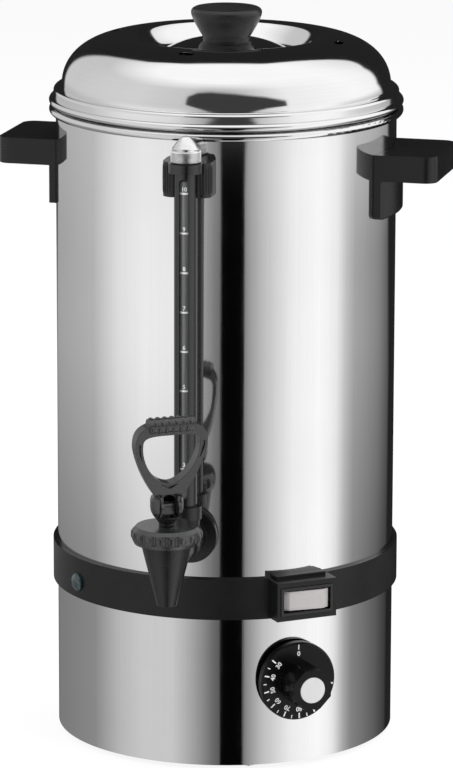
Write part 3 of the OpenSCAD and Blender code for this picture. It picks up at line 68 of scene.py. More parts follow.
def lathe(name, outline, sides, where):
    # turns (radius, height) pairs round Z; a radius of 0 closes the form with one point
    verts, rings, faces = [], [], []
    for r, z in outline:
        if r < nothing:
            rings.append([len(verts)])
            verts.append(where @ Vector((0, 0, z)))
        else:
            rings.append(list(range(len(verts), len(verts) + sides)))
            turns = [2 * math.pi * k / sides for k in range(sides)]
            verts += [where @ Vector((r * math.cos(a), r * math.sin(a), z)) for a in turns]
    for low, high in zip(rings, rings[1:]):
        for k in range(sides):
            n = (k + 1) % sides
            if len(low) == 1:
                faces.append((low[0], high[n], high[k]))
            elif len(high) == 1:
                faces.append((low[k], low[n], high[0]))
            else:
                faces.append((low[k], low[n], high[n], high[k]))
    return newMesh(name, verts, faces)


# ---- shader arithmetic: sockets that add, subtract and multiply
class Value:
    def __init__(self, tree, socket):
        self.tree = tree
        self.socket = socket

    def math(self, kind, *others):
        node = self.tree.nodes.new("ShaderNodeMath")
        node.operation = kind
        for slot, item in zip(node.inputs, (self,) + others):
            if isinstance(item, Value):
                self.tree.links.new(item.socket, slot)
            else:
                slot.default_value = item
        return Value(self.tree, node.outputs[0])

    def __add__(self, other):
        return self.math("ADD", other)

    def __radd__(self, other):
        return self.math("ADD", other)

    def __sub__(self, other):
        return self.math("SUBTRACT", other)

    def __mul__(self, other):
        return self.math("MULTIPLY", other)

    def __rmul__(self, other):
        return self.math("MULTIPLY", other)

    def clamped(self):
        return self.math("MAXIMUM", 0.0).math("MINIMUM", 1.0)


class Finish:
    # one material: its tree, its Principled shader and the patterns that feed it
    def __init__(self, name, **sockets):
        self.material = bpy.data.materials.new(name)
        self.material.use_nodes = True
        self.tree = self.material.node_tree
        self.shader = self.tree.nodes["Principled BSDF"]
        for key, item in sockets.items():
            self.shader.inputs[key.replace("_", " ")].default_value = item
        self.place = self.node("ShaderNodeTexCoord").outputs["Object"]
        split = self.node("ShaderNodeSeparateXYZ", Vector=self.place)
        self.x, self.y, self.z = (Value(self.tree, split.outputs[k]) for k in range(3))

    def node(self, kind, settings=None, **inputs):
        made = self.tree.nodes.new(kind)
        for key, item in (settings or {}).items():
            setattr(made, key, item)
        for key, item in inputs.items():
            socket = made.inputs[key]
            if isinstance(item, Value):
                self.tree.links.new(item.socket, socket)
            elif isinstance(item, bpy.types.NodeSocket):
                self.tree.links.new(item, socket)
            else:
                socket.default_value = item
        return made

    def vector(self, x, y, z):
        return self.node("ShaderNodeCombineXYZ", X=x, Y=y, Z=z).outputs[0]

    def noise(self, scale, detail=3.0, rough=0.55, at=None):
        made = self.node("ShaderNodeTexNoise", Vector=at or self.place, Scale=scale, Detail=detail,
                         Roughness=rough)
        return Value(self.tree, made.outputs["Fac"])

    def colours(self, by, *stops):
        ramp = self.node("ShaderNodeValToRGB", Fac=by)
        places = ramp.color_ramp.elements
        while len(places) < len(stops):
            places.new(1.0)
        for spot, (at, colour) in zip(places, stops):
            spot.position = at
            spot.color = (*colour, 1.0)
        return ramp.outputs["Color"]

    def bump(self, height, strength, distance, over=None):
        made = self.node("ShaderNodeBump", Height=height, Strength=strength, Distance=distance)
        if over is not None:
            self.tree.links.new(over, made.inputs["Normal"])
        return made.outputs["Normal"]

    def softEdges(self, radius):
        return self.node("ShaderNodeBevel", dict(samples=4), Radius=radius).outputs["Normal"]

    def feed(self, **sockets):
        for key, item in sockets.items():
            socket = self.shader.inputs[key.replace("_", " ")]
            self.tree.links.new(item.socket if isinstance(item, Value) else item, socket)
        return self.material


def greys(*pairs):
    return [(at, (tone, tone, tone)) for at, tone in pairs]


# ---- steel
steelWall = dict(tone=0.67, spread=0.03, rough=0.025, haze=0.04, lines=0.03, streaks=900.0, streakHeight=5.0,
                 cloud=14.0, wipeTurn=6.0, wipeHeight=40.0, grain=0.02, deep=0.0004)


def steelTone(f, pattern, v):
    low, high = v["tone"] - v["spread"], v["tone"] + v["spread"]
    return f.colours(pattern, *greys((0.25, low), (0.75, high)))


def polishedWall():
    # rolled and polished sheet: fine lines that run up the wall, and a thin haze where it was wiped
    v = steelWall
    f = Finish("polishedWall", Metallic=1.0)
    turn = f.y.math("ARCTAN2", f.x)
    around = f.vector(turn * urn["shellRadius"] * v["streaks"], 0.0, f.z * v["streakHeight"])
    streak = f.noise(1.0, 4.0, 0.6, around)
    cloud = f.noise(v["cloud"], 3.0)
    wiped = f.noise(1.0, 3.0, 0.6, f.vector(turn * v["wipeTurn"], 0.0, f.z * v["wipeHeight"]))
    tone = steelTone(f, streak * 0.5 + cloud * 0.5, v)
    rough = v["rough"] + v["haze"] * (cloud * wiped * 2.0).clamped() + streak * v["lines"]
    return f.feed(Base_Color=tone, Roughness=rough, Normal=f.bump(streak, v["grain"], v["deep"]))


spunSteel = dict(tone=0.69, spread=0.03, rough=0.04, haze=0.05, lines=0.03, rings=1300.0, rise=0.6,
                 cloud=20.0, grain=0.025, deep=0.0003)


def spunLid():
    # pressed and spun sheet: fine rings round the middle
    v = spunSteel
    f = Finish("spunLid", Metallic=1.0)
    out = (f.x * f.x + f.y * f.y).math("SQRT")
    rings = f.noise(1.0, 4.0, 0.6, f.vector(out * v["rings"], 0.0, f.z * v["rings"] * v["rise"]))
    cloud = f.noise(v["cloud"], 3.0)
    tone = steelTone(f, rings * 0.5 + cloud * 0.5, v)
    rough = v["rough"] + v["haze"] * cloud + rings * v["lines"]
    return f.feed(Base_Color=tone, Roughness=rough, Normal=f.bump(rings, v["grain"], v["deep"]))


steelGrain = dict(cloud=0.08, darker=0.86, paler=1.14, palest=0.97, smooth=0.8, dull=0.5, bump=0.25)


def plainSteel(name, tone=0.6, rough=0.28, scale=220.0, tint=(1.0, 1.0, 1.0), height=0.0001):
    v = steelGrain
    f = Finish(name, Metallic=1.0)
    grain = f.noise(scale, 4.0)
    cloud = f.noise(scale * v["cloud"], 2.0)
    mixed = grain * 0.5 + cloud * 0.5
    low, high = tone * v["darker"], min(tone * v["paler"], v["palest"])
    base = f.colours(mixed, (0.3, tuple(low * t for t in tint)), (0.7, tuple(high * t for t in tint)))
    return f.feed(Base_Color=base, Roughness=rough * v["smooth"] + mixed * rough * v["dull"],
                  Normal=f.bump(grain, v["bump"], height))


# ---- plastics and the rest
moulded = dict(cloud=45.0, fineShare=0.4, darker=(0.75, 0.78), paler=(1.3, 1.35), haze=0.16)


def blackPlastic(name, tone=0.008, rough=0.34, grain=900.0, height=0.00012, strength=0.35, edge=0.0006,
                 tint=1.0, shine=0.2):
    # moulded plastic with an eroded, fine grained surface, and edges that the mould rounds
    v = moulded
    f = Finish(name, Specular_IOR_Level=shine)
    fine = f.noise(grain, 3.0, 0.6)
    cloud = f.noise(v["cloud"], 3.0)
    (low, lowBlue), (high, highBlue) = ((tone * k for k in v[key]) for key in ("darker", "paler"))
    base = f.colours(cloud * (1 - v["fineShare"]) + fine * v["fineShare"], (0.3, (low, low, lowBlue)),
                     (0.7, (high, high * tint, highBlue * tint)))
    normal = f.bump(fine, strength, height, f.softEdges(edge) if edge else None)
    return f.feed(Base_Color=base, Roughness=rough + (cloud - 0.5) * v["haze"], Normal=normal)


tinted = dict(grain=1400.0, fineShare=0.3, bump=0.15, deep=0.00006, haze=0.1)


def tintedPlastic(name, low, high, rough=0.25, scale=60.0, edge=0.0004):
    v = tinted
    f = Finish(name, Specular_IOR_Level=0.5)
    cloud = f.noise(scale, 3.0)
    fine = f.noise(v["grain"], 2.0)
    base = f.colours(cloud * (1 - v["fineShare"]) + fine * v["fineShare"], (0.3, low), (0.7, high))
    normal = f.bump(fine, v["bump"], v["deep"], f.softEdges(edge) if edge else None)
    return f.feed(Base_Color=base, Roughness=rough + (cloud - 0.5) * v["haze"], Normal=normal)


lensLook = dict(facets=260.0, dark=(0.003, 0.012, 0.015), pale=(0.008, 0.03, 0.036), rough=0.12, haze=0.1,
                bump=0.2, deep=0.0002)


def lampLens():
    v = lensLook
    f = Finish("lampLens", Coat_Weight=0.6, Coat_Roughness=0.05, Specular_IOR_Level=0.5)
    facets = f.noise(v["facets"], 2.0)
    base = f.colours(facets, (0.3, v["dark"]), (0.7, v["pale"]))
    return f.feed(Base_Color=base, Roughness=v["rough"] + facets * v["haze"],
                  Normal=f.bump(facets, v["bump"], v["deep"]))


glassReflectionPaint = dict(cloud=30.0, stretch=20.0, dark=(0.1, 0.102, 0.105), pale=(0.15, 0.152, 0.155), rough=0.06,
                 haze=0.05)


def gaugeGlass():
    # a clear tube drawn opaque: a soft grey painted reflection stands in for the glass over the dark guard
    # behind it
    v = glassReflectionPaint
    f = Finish("gaugeGlass", IOR=1.47, Specular_IOR_Level=0.6)
    along = f.vector(f.x * v["stretch"], f.y * v["stretch"], f.z)
    cloud = f.noise(v["cloud"], 2.0, 0.5, along)
    # painted reflection: the grey base colour stands in for light reflected off the glass
    base = f.colours(cloud, (0.3, v["dark"]), (0.7, v["pale"]))
    return f.feed(Base_Color=base, Roughness=v["rough"] + cloud * v["haze"])


copperLook = dict(cloud=90.0, dark=(0.42, 0.2, 0.1), pale=(0.72, 0.4, 0.24), rough=0.25, haze=0.2, bump=0.2,
                  deep=0.0001)


def copperTube():
    v = copperLook
    f = Finish("copperTube", Metallic=1.0)
    cloud = f.noise(v["cloud"], 4.0)
    base = f.colours(cloud, (0.3, v["dark"]), (0.7, v["pale"]))
    return f.feed(Base_Color=base, Roughness=v["rough"] + cloud * v["haze"],
                  Normal=f.bump(cloud, v["bump"], v["deep"]))


markLook = dict(wear=2500.0, worn=0.62, fresh=0.8, rough=0.4, haze=0.2)


def whiteMarks():
    v = markLook
    f = Finish("whiteMarks")
    wear = f.noise(v["wear"], 3.0)
    base = f.colours(wear, *greys((0.25, v["worn"]), (0.6, v["fresh"])))
    return f.feed(Base_Color=base, Roughness=v["rough"] + wear * v["haze"])


finishes = dict(
    wall=polishedWall(), lid=spunLid(), marks=whiteMarks(), lens=lampLens(), glass=gaugeGlass(),
    copper=copperTube(),
    hidden=plainSteel("plainSheet", 0.55, 0.34, 160.0),
    bright=plainSteel("brightSteel", 0.66, 0.16, 500.0, height=0.00004),
    screws=plainSteel("platedScrew", 0.58, 0.26, 700.0),
    alloy=plainSteel("castAlloy", 0.6, 0.5, 260.0, height=0.0002),
    brass=plainSteel("brassPart", 0.72, 0.28, 400.0, (1.0, 0.8, 0.42)),
    sheath=plainSteel("heatedSheath", 0.16, 0.5, 240.0, (1.0, 0.92, 0.85), 0.0002),
    satin=blackPlastic("satinBlack", 0.007, 0.24, shine=0.36),
    handle=blackPlastic("grainedHandle", 0.0055, 0.24, 700.0, 0.0002, 0.4, 0.0012, shine=0.3),
    guard=blackPlastic("guardTube", 0.007, 0.13, 500.0, 0.00005, 0.2, 0.0004, shine=0.5),
    band=blackPlastic("bandBlack", 0.006, 0.36, 420.0, 0.00008, 0.2, 0.0005, shine=0.24),
    tap=blackPlastic("tapCharcoal", 0.012, 0.2, 620.0, 0.0002, 0.5, 0.0008, 1.03, 0.7),
    spout=blackPlastic("tapBody", 0.007, 0.26, 620.0, 0.00025, 0.6, 0.0008, 1.03, 0.35),
    knob=blackPlastic("lidKnob", 0.011, 0.33, 800.0, 0.0001, 0.3, 0.0008, shine=0.35),
    dial=blackPlastic("dialBlack", 0.003, 0.26, 900.0, 0.00008, 0.25, 0.0005, shine=0.15),
    dark=blackPlastic("switchCase", 0.014, 0.45),
    cap=tintedPlastic("whiteCap", (0.5, 0.5, 0.5), (0.56, 0.56, 0.56), 0.3),
    rocker=tintedPlastic("rockerGrey", (0.36, 0.34, 0.34), (0.42, 0.395, 0.395), 0.28, 25.0, 0.0006),
    ceramic=tintedPlastic("ceramicCream", (0.62, 0.58, 0.5), (0.76, 0.73, 0.65), 0.3),
    wire=tintedPlastic("wireSleeve", (0.2, 0.1, 0.06), (0.3, 0.16, 0.09), 0.5, 60.0, 0.0),
    red=tintedPlastic("resetRed", (0.42, 0.02, 0.015), (0.55, 0.035, 0.025), 0.3),
    rubber=blackPlastic("blackRubber", 0.02, 0.62, 600.0, 0.0002, 0.5),
    silicone=tintedPlastic("seatSilicone", (0.55, 0.54, 0.5), (0.66, 0.65, 0.6), 0.4),
)
worn = dict(
    wall="base_shell pot", lid="lid", lens="pilot_lens", glass="gauge_glass",
    copper="capillary_tubes sensor_bulbs",
    hidden="base_plate heat_shield bulb_clamp lid_knob_washer",
    bright="gauge_dome_nut tap_spring lever_pin rocker_pin thermostat_shaft shank_nut",
    screws="base_plate_screws band_screws thermostat_screws handle_screws gauge_bracket_screws "
           "lid_knob_screw",
    alloy="heater_plate", brass="earth_stud", sheath="heating_element",
    satin="gauge_bracket gauge_lower_nut gauge_block lead_gland gland_cap gland_nut switch_bezel",
    handle="left_handle right_handle", guard="gauge_guard", band="band", spout="tap_body",
    tap="tap_bonnet tap_stem lever_cup tap_lever",
    knob="lid_knob", dial="thermostat_knob", dark="switch_body", cap="knob_cap", rocker="rocker",
    ceramic="pilot_holder thermostat_body element_terminals boil_dry_cutout terminal_block",
    wire="internal_wires",
    red="reset_button", rubber="feet shank_seals gauge_seals gland_seal", silicone="seat_cup")


def dress(thing, finish):
    thing.data.materials.clear()
    thing.data.materials.append(finishes[finish])


dressed = set()
for finish, names in worn.items():
    for name in names.split():
        dress(nodes[name], finish)
        dressed.add(name)
print("nodes without a finish:", sorted(set(nodes) - dressed))


# ---- Geometry Nodes: one item set on each point of a piece, turned to the point's own direction
def repeatTree(material):
    tree = bpy.data.node_groups.new("repeatItem", "GeometryNodeTree")
    sockets = tree.interface
    sockets.new_socket("Geometry", in_out="INPUT", socket_type="NodeSocketGeometry")
    sockets.new_socket("Item", in_out="INPUT", socket_type="NodeSocketObject")
    sockets.new_socket("Size", in_out="INPUT", socket_type="NodeSocketFloat")
    sockets.new_socket("Geometry", in_out="OUTPUT", socket_type="NodeSocketGeometry")
    start = tree.nodes.new("NodeGroupInput")
    end = tree.nodes.new("NodeGroupOutput")
    item = tree.nodes.new("GeometryNodeObjectInfo")
    facing = tree.nodes.new("GeometryNodeInputNamedAttribute")
    facing.data_type = "FLOAT_VECTOR"
    facing.inputs["Name"].default_value = "facing"
    lying = tree.nodes.new("GeometryNodeInputNamedAttribute")
    lying.data_type = "FLOAT_VECTOR"
    lying.inputs["Name"].default_value = "lying"
    turn = tree.nodes.new("FunctionNodeAlignRotationToVector")
    turn.axis = "Z"
    lay = tree.nodes.new("FunctionNodeAlignRotationToVector")
    lay.axis = "X"
    lay.pivot_axis = "Z"
    points = tree.nodes.new("GeometryNodeInstanceOnPoints")
    solid = tree.nodes.new("GeometryNodeRealizeInstances")
    paint = tree.nodes.new("GeometryNodeSetMaterial")
    paint.inputs["Material"].default_value = material
    link = tree.links.new
    link(start.outputs["Item"], item.inputs["Object"])
    link(facing.outputs["Attribute"], turn.inputs["Vector"])
    link(turn.outputs["Rotation"], lay.inputs["Rotation"])
    link(lying.outputs["Attribute"], lay.inputs["Vector"])
    link(lay.outputs["Rotation"], points.inputs["Rotation"])
    link(start.outputs["Geometry"], points.inputs["Points"])
    link(item.outputs["Geometry"], points.inputs["Instance"])
    link(start.outputs["Size"], points.inputs["Scale"])
    link(points.outputs["Instances"], solid.inputs["Geometry"])
    link(solid.outputs["Geometry"], paint.inputs["Geometry"])
    link(paint.outputs["Geometry"], end.inputs["Geometry"])
    return tree


def repeated(name, item, spots, finish, size=1.0):
    # spots: (place, outward direction, direction of the item's own X)
    cloud = newMesh(name + "Spots", [s[0] for s in spots], [])
    for label, k in (("facing", 1), ("lying", 2)):
        attribute = cloud.data.attributes.new(label, "FLOAT_VECTOR", "POINT")
        for n, s in enumerate(spots):
            attribute.data[n].vector = tuple(s[k])
    tree = repeatTree(finishes[finish])
    modifier = cloud.modifiers.new("repeat", "NODES")
    modifier.node_group = tree
    for socket in tree.interface.items_tree:
        if socket.in_out == "INPUT" and socket.name == "Item":
            modifier[socket.identifier] = item
        if socket.in_out == "INPUT" and socket.name == "Size":
            modifier[socket.identifier] = size
    graph = bpy.context.evaluated_depsgraph_get()
    mesh = bpy.data.meshes.new_from_object(cloud.evaluated_get(graph), preserve_all_data_layers=False,
                                           depsgraph=graph)
    cloud.modifiers.remove(modifier)
    made = bpy.data.objects.new(name, mesh)
    bpy.context.collection.objects.link(made)
    bpy.data.objects.remove(cloud)
    bpy.data.objects.remove(item)
    dress(made, finish)
    return made


def bead(radiusX, radiusY, height, rings=4, sides=12, power=1.0):
    # half of a rounded button on z = 0, open underneath
    verts, faces = [], []
    for r in range(rings):
        a = math.pi / 2 * r / rings
        out = math.cos(a) ** power
        for k in range(sides):
            b = 2 * math.pi * k / sides
            verts.append((radiusX * out * math.cos(b), radiusY * out * math.sin(b), height * math.sin(a)))
    verts.append((0, 0, height))
    for r in range(rings - 1):
        for k in range(sides):
            n = (k + 1) % sides
            faces.append((r * sides + k, r * sides + n, (r + 1) * sides + n, (r + 1) * sides + k))
    for k in range(sides):
        faces.append(((rings - 1) * sides + k, (rings - 1) * sides + (k + 1) % sides, len(verts) - 1))
    return newMesh("bead", verts, faces)


def pyramid(halfX, halfY, height, top=0.3):
    verts = [(halfX, 0, 0), (0, halfY, 0), (-halfX, 0, 0), (0, -halfY, 0)]
    verts += [(x * top, y * top, height) for x, y, _ in verts]
    faces = [(0, 1, 5, 4), (1, 2, 6, 5), (2, 3, 7, 6), (3, 0, 4, 7), (4, 5, 6, 7)]
    return newMesh("pyramid", verts, faces, False)


def aroundTap(turn, out, height):
    # a spot on a ring round the tap's axis
    a = math.radians(turn)
    side = Vector((math.cos(a), math.sin(a), 0))
    return Vector((0, -urn["tapOut"], height)) + side * out, side


# ---- lid: the same section as the solid's, in finer steps, so that its mirror image runs smooth
lidForm = dict(thick=0.0008, foot=0.4125, beadHeight=0.4237, beadOut=0.11374, bead=0.0022, skirtOut=0.1101,
               stepOut=0.11294, round=0.0018, ledge=0.4319, domeOut=0.1077, domeHigh=0.0338, crestOut=0.063,
               power=2.25, dishOut=0.046, dishDeep=0.0122, seatOut=0.016, seatDrop=0.0026, sides=288,
               domeSteps=72, dishSteps=24, roundSteps=6, beadSteps=20, beadFrom=-165, beadTo=108, trim=0.3,
               near=0.0002, corner=0.0003, edge=0.0001, neck=0.0006, ventCount=4, ventTurn=-8.0,
               ventOut=0.077, ventLong=0.010, ventWide=0.005, ventSteps=12, crease=32)


def arc(steps, low=0.0, high=90.0):
    return [math.radians(low + (high - low) * k / steps) for k in range(steps + 1)]


def lidSkin():
    # outer skin from the step by the bead up over the dome, down the dish and up its cone to the axis;
    # points near a corner keep its shading crisp
    v = lidForm
    crest = v["ledge"] + v["domeHigh"]
    dish, seat = crest - v["dishDeep"], crest - v["seatDrop"]
    r, out, bend, n = v["round"], v["stepOut"], 2 / v["power"], v["dishSteps"]
    skin = [(out, v["beadHeight"] + v["bead"]), (out, v["ledge"] - r - v["near"])]
    skin += [(out - r + r * math.cos(a), v["ledge"] - r + r * math.sin(a)) for a in arc(v["roundSteps"])]
    skin += [(v["domeOut"] + v["corner"], v["ledge"])]
    skin += [(v["crestOut"] + (v["domeOut"] - v["crestOut"]) * math.cos(a) ** bend,
              v["ledge"] + v["domeHigh"] * math.sin(a) ** bend)
             for a in arc(v["domeSteps"], v["trim"], 90 - v["trim"])]
    for k in range(1, n + 1):
        skin.append((v["crestOut"] + (v["dishOut"] - v["crestOut"]) * k / n,
                     dish + v["dishDeep"] * (1 + math.cos(math.pi * k / n)) / 2))
    for k in range(1, n + 1):
        skin.append((v["dishOut"] + (v["seatOut"] - v["dishOut"]) * k / n,
                     dish + (seat - dish) * math.sin(math.pi / 2 * k / n)))
    return skin


def lidOutline():
    # closed section: along the underside, down and up the skirt, round the bead and over the skin
    v = lidForm
    skin = lidSkin()
    under = []
    for (r0, z0), (r1, z1), (r2, z2) in zip(skin, skin[1:], skin[2:]):
        along = Vector((r2 - r0, z2 - z0)).normalized()
        under.append((r1 - v["thick"] * along.y, z1 + v["thick"] * along.x))
    under = [p for p in under if p[1] > v["beadHeight"]]
    inside, top, level = v["skirtOut"] - v["thick"], skin[-1][1], v["beadHeight"]
    outline = [(0, top - v["thick"])] + under[::-1]
    outline += [(under[0][0], level), (inside, level - v["near"]), (inside, v["foot"] + v["edge"]),
                (inside, v["foot"]), (v["skirtOut"], v["foot"]), (v["skirtOut"], v["foot"] + v["edge"]),
                (v["skirtOut"], level - v["neck"])]
    outline += [(v["beadOut"] + v["bead"] * math.cos(a), level + v["bead"] * math.sin(a))
                for a in arc(v["beadSteps"], v["beadFrom"], v["beadTo"])]
    return outline + [p for p in skin if p[1] > level + v["bead"] + v["edge"]] + [(0, top)]


def makeLid():
    v = lidForm
    body = lathe("smoothLid", lidOutline(), v["sides"], Matrix())
    half, end = (v["ventLong"] - v["ventWide"]) / 2, v["ventWide"] / 2
    rim = [(half + end * math.cos(a), end * math.sin(a)) for a in arc(v["ventSteps"], -90, 90)]
    rim += [(-half + end * math.cos(a), end * math.sin(a)) for a in arc(v["ventSteps"], 90, 270)]
    verts, faces = [], []
    n = len(rim)
    for k in range(v["ventCount"]):
        slot = place(v["ventTurn"] + k * 360 / v["ventCount"], v["ventOut"], 0)
        start = len(verts)
        verts += [slot @ Vector((x, y, z)) for z in (v["ledge"], v["ledge"] + 2 * v["domeHigh"])
                  for x, y in rim]
        faces += [tuple(start + i for i in reversed(range(n))), tuple(start + n + i for i in range(n))]
        faces += [(start + i, start + (i + 1) % n, start + n + (i + 1) % n, start + n + i) for i in range(n)]
    cutter = newMesh("ventCutter", verts, faces, False)
    cut = body.modifiers.new("vents", "BOOLEAN")
    cut.object = cutter
    cut.solver = "EXACT"
    graph = bpy.context.evaluated_depsgraph_get()
    mesh = bpy.data.meshes.new_from_object(body.evaluated_get(graph), preserve_all_data_layers=False,
                                           depsgraph=graph)
    body.modifiers.clear()
    body.data = mesh
    bpy.data.objects.remove(cutter)
    for p in mesh.polygons:
        p.use_smooth = True
    mesh.set_sharp_from_angle(angle=math.radians(v["crease"]))
    dress(body, "lid")
    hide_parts("lid")
    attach(body, "cover")


makeLid()
print("lid ready")

# ---- dome nut of the gauge: turned body, diamond knurl and pointed dome
domeNut = dict(foot=0.4040, knurl=0.0083, radius=0.0092, dome=0.0089, domeIn=0.0008, sides=64, columns=40,
               rows=8, tooth=0.0008, toothIn=0.0003, toothShare=0.98, knurlFrom=0.0006, plain=0.0014,
               low=((0.0006, 0), (0.0002, 0.0005)),
               rim=((0.0002, -0.0008), (0.0009, -0.0003), (0.0011, 0), (0.0004, 0.0006), (0.0005, 0.0012)),
               crown=((0.93, 0.24), (0.84, 0.38), (0.72, 0.52), (0.6, 0.66), (0.49, 0.78), (0.38, 0.88),
                      (0.25, 0.95), (0.12, 0.99), (0, 1)))


def makeDomeNut():
    v = domeNut
    where = Matrix.Translation((0, -urn["gaugeOut"], v["foot"]))
    h, r = v["knurl"], v["radius"]
    outline = [(0, 0)] + [(r - less, z) for less, z in v["low"]] + [(r - less, h + z) for less, z in v["rim"]]
    outline += [((r - v["domeIn"]) * a, h + v["dome"] * b) for a, b in v["crown"]]
    body = lathe("domeNut", outline, v["sides"], where)
    dress(body, "bright")
    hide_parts("gauge_dome_nut")
    spots = []
    pitch = (h - v["plain"]) / v["rows"]
    for row in range(v["rows"]):
        for k in range(v["columns"]):
            a = 2 * math.pi * (k + 0.5 * (row % 2)) / v["columns"]
            side = Vector((math.cos(a), math.sin(a), 0))
            spot = Vector((0, -urn["gaugeOut"], v["foot"] + v["knurlFrom"] + pitch * (row + 0.5)))
            spots.append((spot + side * (r - v["toothIn"]), side, Vector((0, 0, 1))))
    half = math.pi * r / v["columns"]
    tooth = pyramid(pitch * v["toothShare"], half * v["toothShare"], v["tooth"])
    teeth = repeated("nutKnurl", tooth, spots, "bright")
    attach(body, "urn")
    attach(teeth, "urn")


makeDomeNut()
print("dome nut ready")

# ---- tap: lugs round the bonnet, beads along the lever's grip
bonnetLugs = dict(count=18, radius=0.0216, low=0.1745, high=0.1805, width=0.0023, proud=0.0011, power=0.7)


def makeBonnetLugs():
    v = bonnetLugs
    spots = []
    for k in range(v["count"]):
        where, side = aroundTap((k + 0.5) * 360 / v["count"], v["radius"], (v["low"] + v["high"]) / 2)
        spots.append((where, side, Vector((0, 0, 1))))
    lug = bead((v["high"] - v["low"]) / 2, v["width"], v["proud"], power=v["power"])
    lugs = repeated("bonnetLugs", lug, spots, "tap")
    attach(lugs, "urn")


makeBonnetLugs()


def makeSpring():
    # the solid's own coil, copied as a piece of its own that moves with the stem
    mesh = nodes["tap_spring"].data.copy()
    coil = bpy.data.objects.new("liveSpring", mesh)
    coil.matrix_world = nodes["tap_spring"].matrix_world.copy()
    bpy.context.collection.objects.link(coil)
    dress(coil, "bright")
    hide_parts("tap_spring")
    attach(coil, "stem")
    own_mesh(coil)


makeSpring()

gripBeads = dict(count=6, halfLength=0.0138, rise=0.055, radius=0.0049, rows=(-20, 40, 100, 160, 220, 280),
                 size=0.0021, lengthShare=0.72, shift=0.25, proud=0.0009)


def makeGripBeads():
    v = gripBeads
    lever = place(urn["leverTurn"], 0, 0)
    lever = Matrix.Translation((0, -urn["tapOut"], urn["pivotHeight"])) @ lever
    lever = lever @ Matrix.Rotation(math.radians(urn["leverLean"]), 4, "X")
    turnOnly = lever.to_3x3()
    spots = []
    for n, row in enumerate(v["rows"]):
        a = math.radians(row)
        side = Vector((0, -math.cos(a), math.sin(a)))
        for k in range(v["count"]):
            x = v["halfLength"] * (2 * (k + 0.5 * (n % 2)) / v["count"] - 1 + v["shift"] / v["count"])
            spot = Vector((x, 0, v["rise"])) + side * v["radius"]
            spots.append((lever @ spot, turnOnly @ side, turnOnly @ Vector((1, 0, 0))))
    beads = repeated("gripBeads", bead(v["size"] * v["lengthShare"], v["size"], v["proud"]), spots, "tap")
    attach(beads, "lever")


makeGripBeads()
print("tap details ready")

# ---- gauge: ribs on the bracket's rounded sides
bracketRibs = dict(low=0.3833, high=0.4024, out=0.1226, halfWidth=0.00875, corner=0.0070, count=7,
                   turnFrom=-6, turnBy=84, width=0.0005, proud=0.00035, rings=3, sides=16, power=0.5)


def makeBracketRibs():
    v = bracketRibs
    spots = []
    middle = (v["low"] + v["high"]) / 2
    for side in (-1, 1):
        for k in range(v["count"]):
            a = math.radians(v["turnFrom"] + v["turnBy"] * k / (v["count"] - 1))
            face = Vector((side * math.cos(a), -math.sin(a), 0))
            spot = Vector((side * v["halfWidth"], -v["out"], middle)) + face * v["corner"]
            spots.append((spot, face, Vector((0, 0, 1))))
    rib = bead((v["high"] - v["low"]) / 2, v["width"], v["proud"], v["rings"], v["sides"], v["power"])
    ribs = repeated("bracketRibs", rib, spots, "satin")
    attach(ribs, "urn")


makeBracketRibs()

# ---- marks: the gauge's litres and the dial's degrees
markThick = 0.00005  # half of it stands over the face
gaugeMarks = dict(radius=0.00508, top=0.3850, step=0.0255, fullest=10, lowest=3, halfAngle=32.0, tall=0.0012,
                  digits=0.0038, above=0.0007)


def textMesh(name, words, size, thick=0.00006, bold=0.00008):
    # generic figures, as a mesh centred on the origin in the XY plane
    curve = bpy.data.curves.new(name, "FONT")
    curve.body = words
    curve.size = size
    curve.align_x = "CENTER"
    curve.align_y = "CENTER"
    curve.extrude = thick
    curve.offset = bold
    curve.resolution_u = 3
    thing = bpy.data.objects.new(name, curve)
    bpy.context.collection.objects.link(thing)
    graph = bpy.context.evaluated_depsgraph_get()
    mesh = bpy.data.meshes.new_from_object(thing.evaluated_get(graph), depsgraph=graph)
    bpy.data.objects.remove(thing)
    return mesh


def gathered(name, parts, finish):
    # parts: (mesh, function that moves a point); one piece out of many
    verts, faces = [], []
    for mesh, move in parts:
        start = len(verts)
        verts += [move(v.co) for v in mesh.vertices]
        faces += [tuple(start + i for i in p.vertices) for p in mesh.polygons]
    made = newMesh(name, verts, faces, False)
    dress(made, finish)
    return made


def bar(width, height, thick, steps=6):
    mesh = bpy.data.meshes.new("bar")
    verts = [(-width / 2 + width * k / steps, y, z) for z in (-thick, thick)
             for y in (-height / 2, height / 2) for k in range(steps + 1)]
    n = steps + 1
    faces = []
    for k in range(steps):
        faces += [(k, k + n, k + n + 1, k + 1), (2 * n + k, 2 * n + k + 1, 3 * n + k + 1, 3 * n + k),
                  (k, k + 1, 2 * n + k + 1, 2 * n + k), (n + k, 3 * n + k, 3 * n + k + 1, n + k + 1)]
    faces += [(0, 2 * n, 3 * n, n), (n - 1, 2 * n - 1, 4 * n - 1, 3 * n - 1)]
    mesh.from_pydata(verts, [], faces)
    mesh.update()
    return mesh


def makeGaugeMarks():
    v = gaugeMarks
    parts = []

    def wrapped(height):
        def move(p):
            a = p.x / v["radius"]
            r = v["radius"] + p.z
            return Vector((r * math.sin(a), -urn["gaugeOut"] - r * math.cos(a), height + p.y))
        return move
    width = 2 * math.radians(v["halfAngle"]) * v["radius"]
    for litre in range(v["lowest"], v["fullest"] + 1):
        height = v["top"] - (v["fullest"] - litre) * v["step"]
        parts.append((bar(width, v["tall"], markThick), wrapped(height)))
        middle = height + v["above"] + v["digits"] / 2
        parts.append((textMesh("litre", str(litre), v["digits"]), wrapped(middle)))
    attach(gathered("gaugeMarks", parts, "marks"), "urn")


makeGaugeMarks()

dialMarks = dict(first=49.0, step=26.5, lowest=30, highest=110, byTens=10, ringOut=0.0248, tall=0.0034,
                 short=0.0021, line=0.0006, wide=0.0009, digits=0.0043, digitsOut=0.0186, above=0.00004)


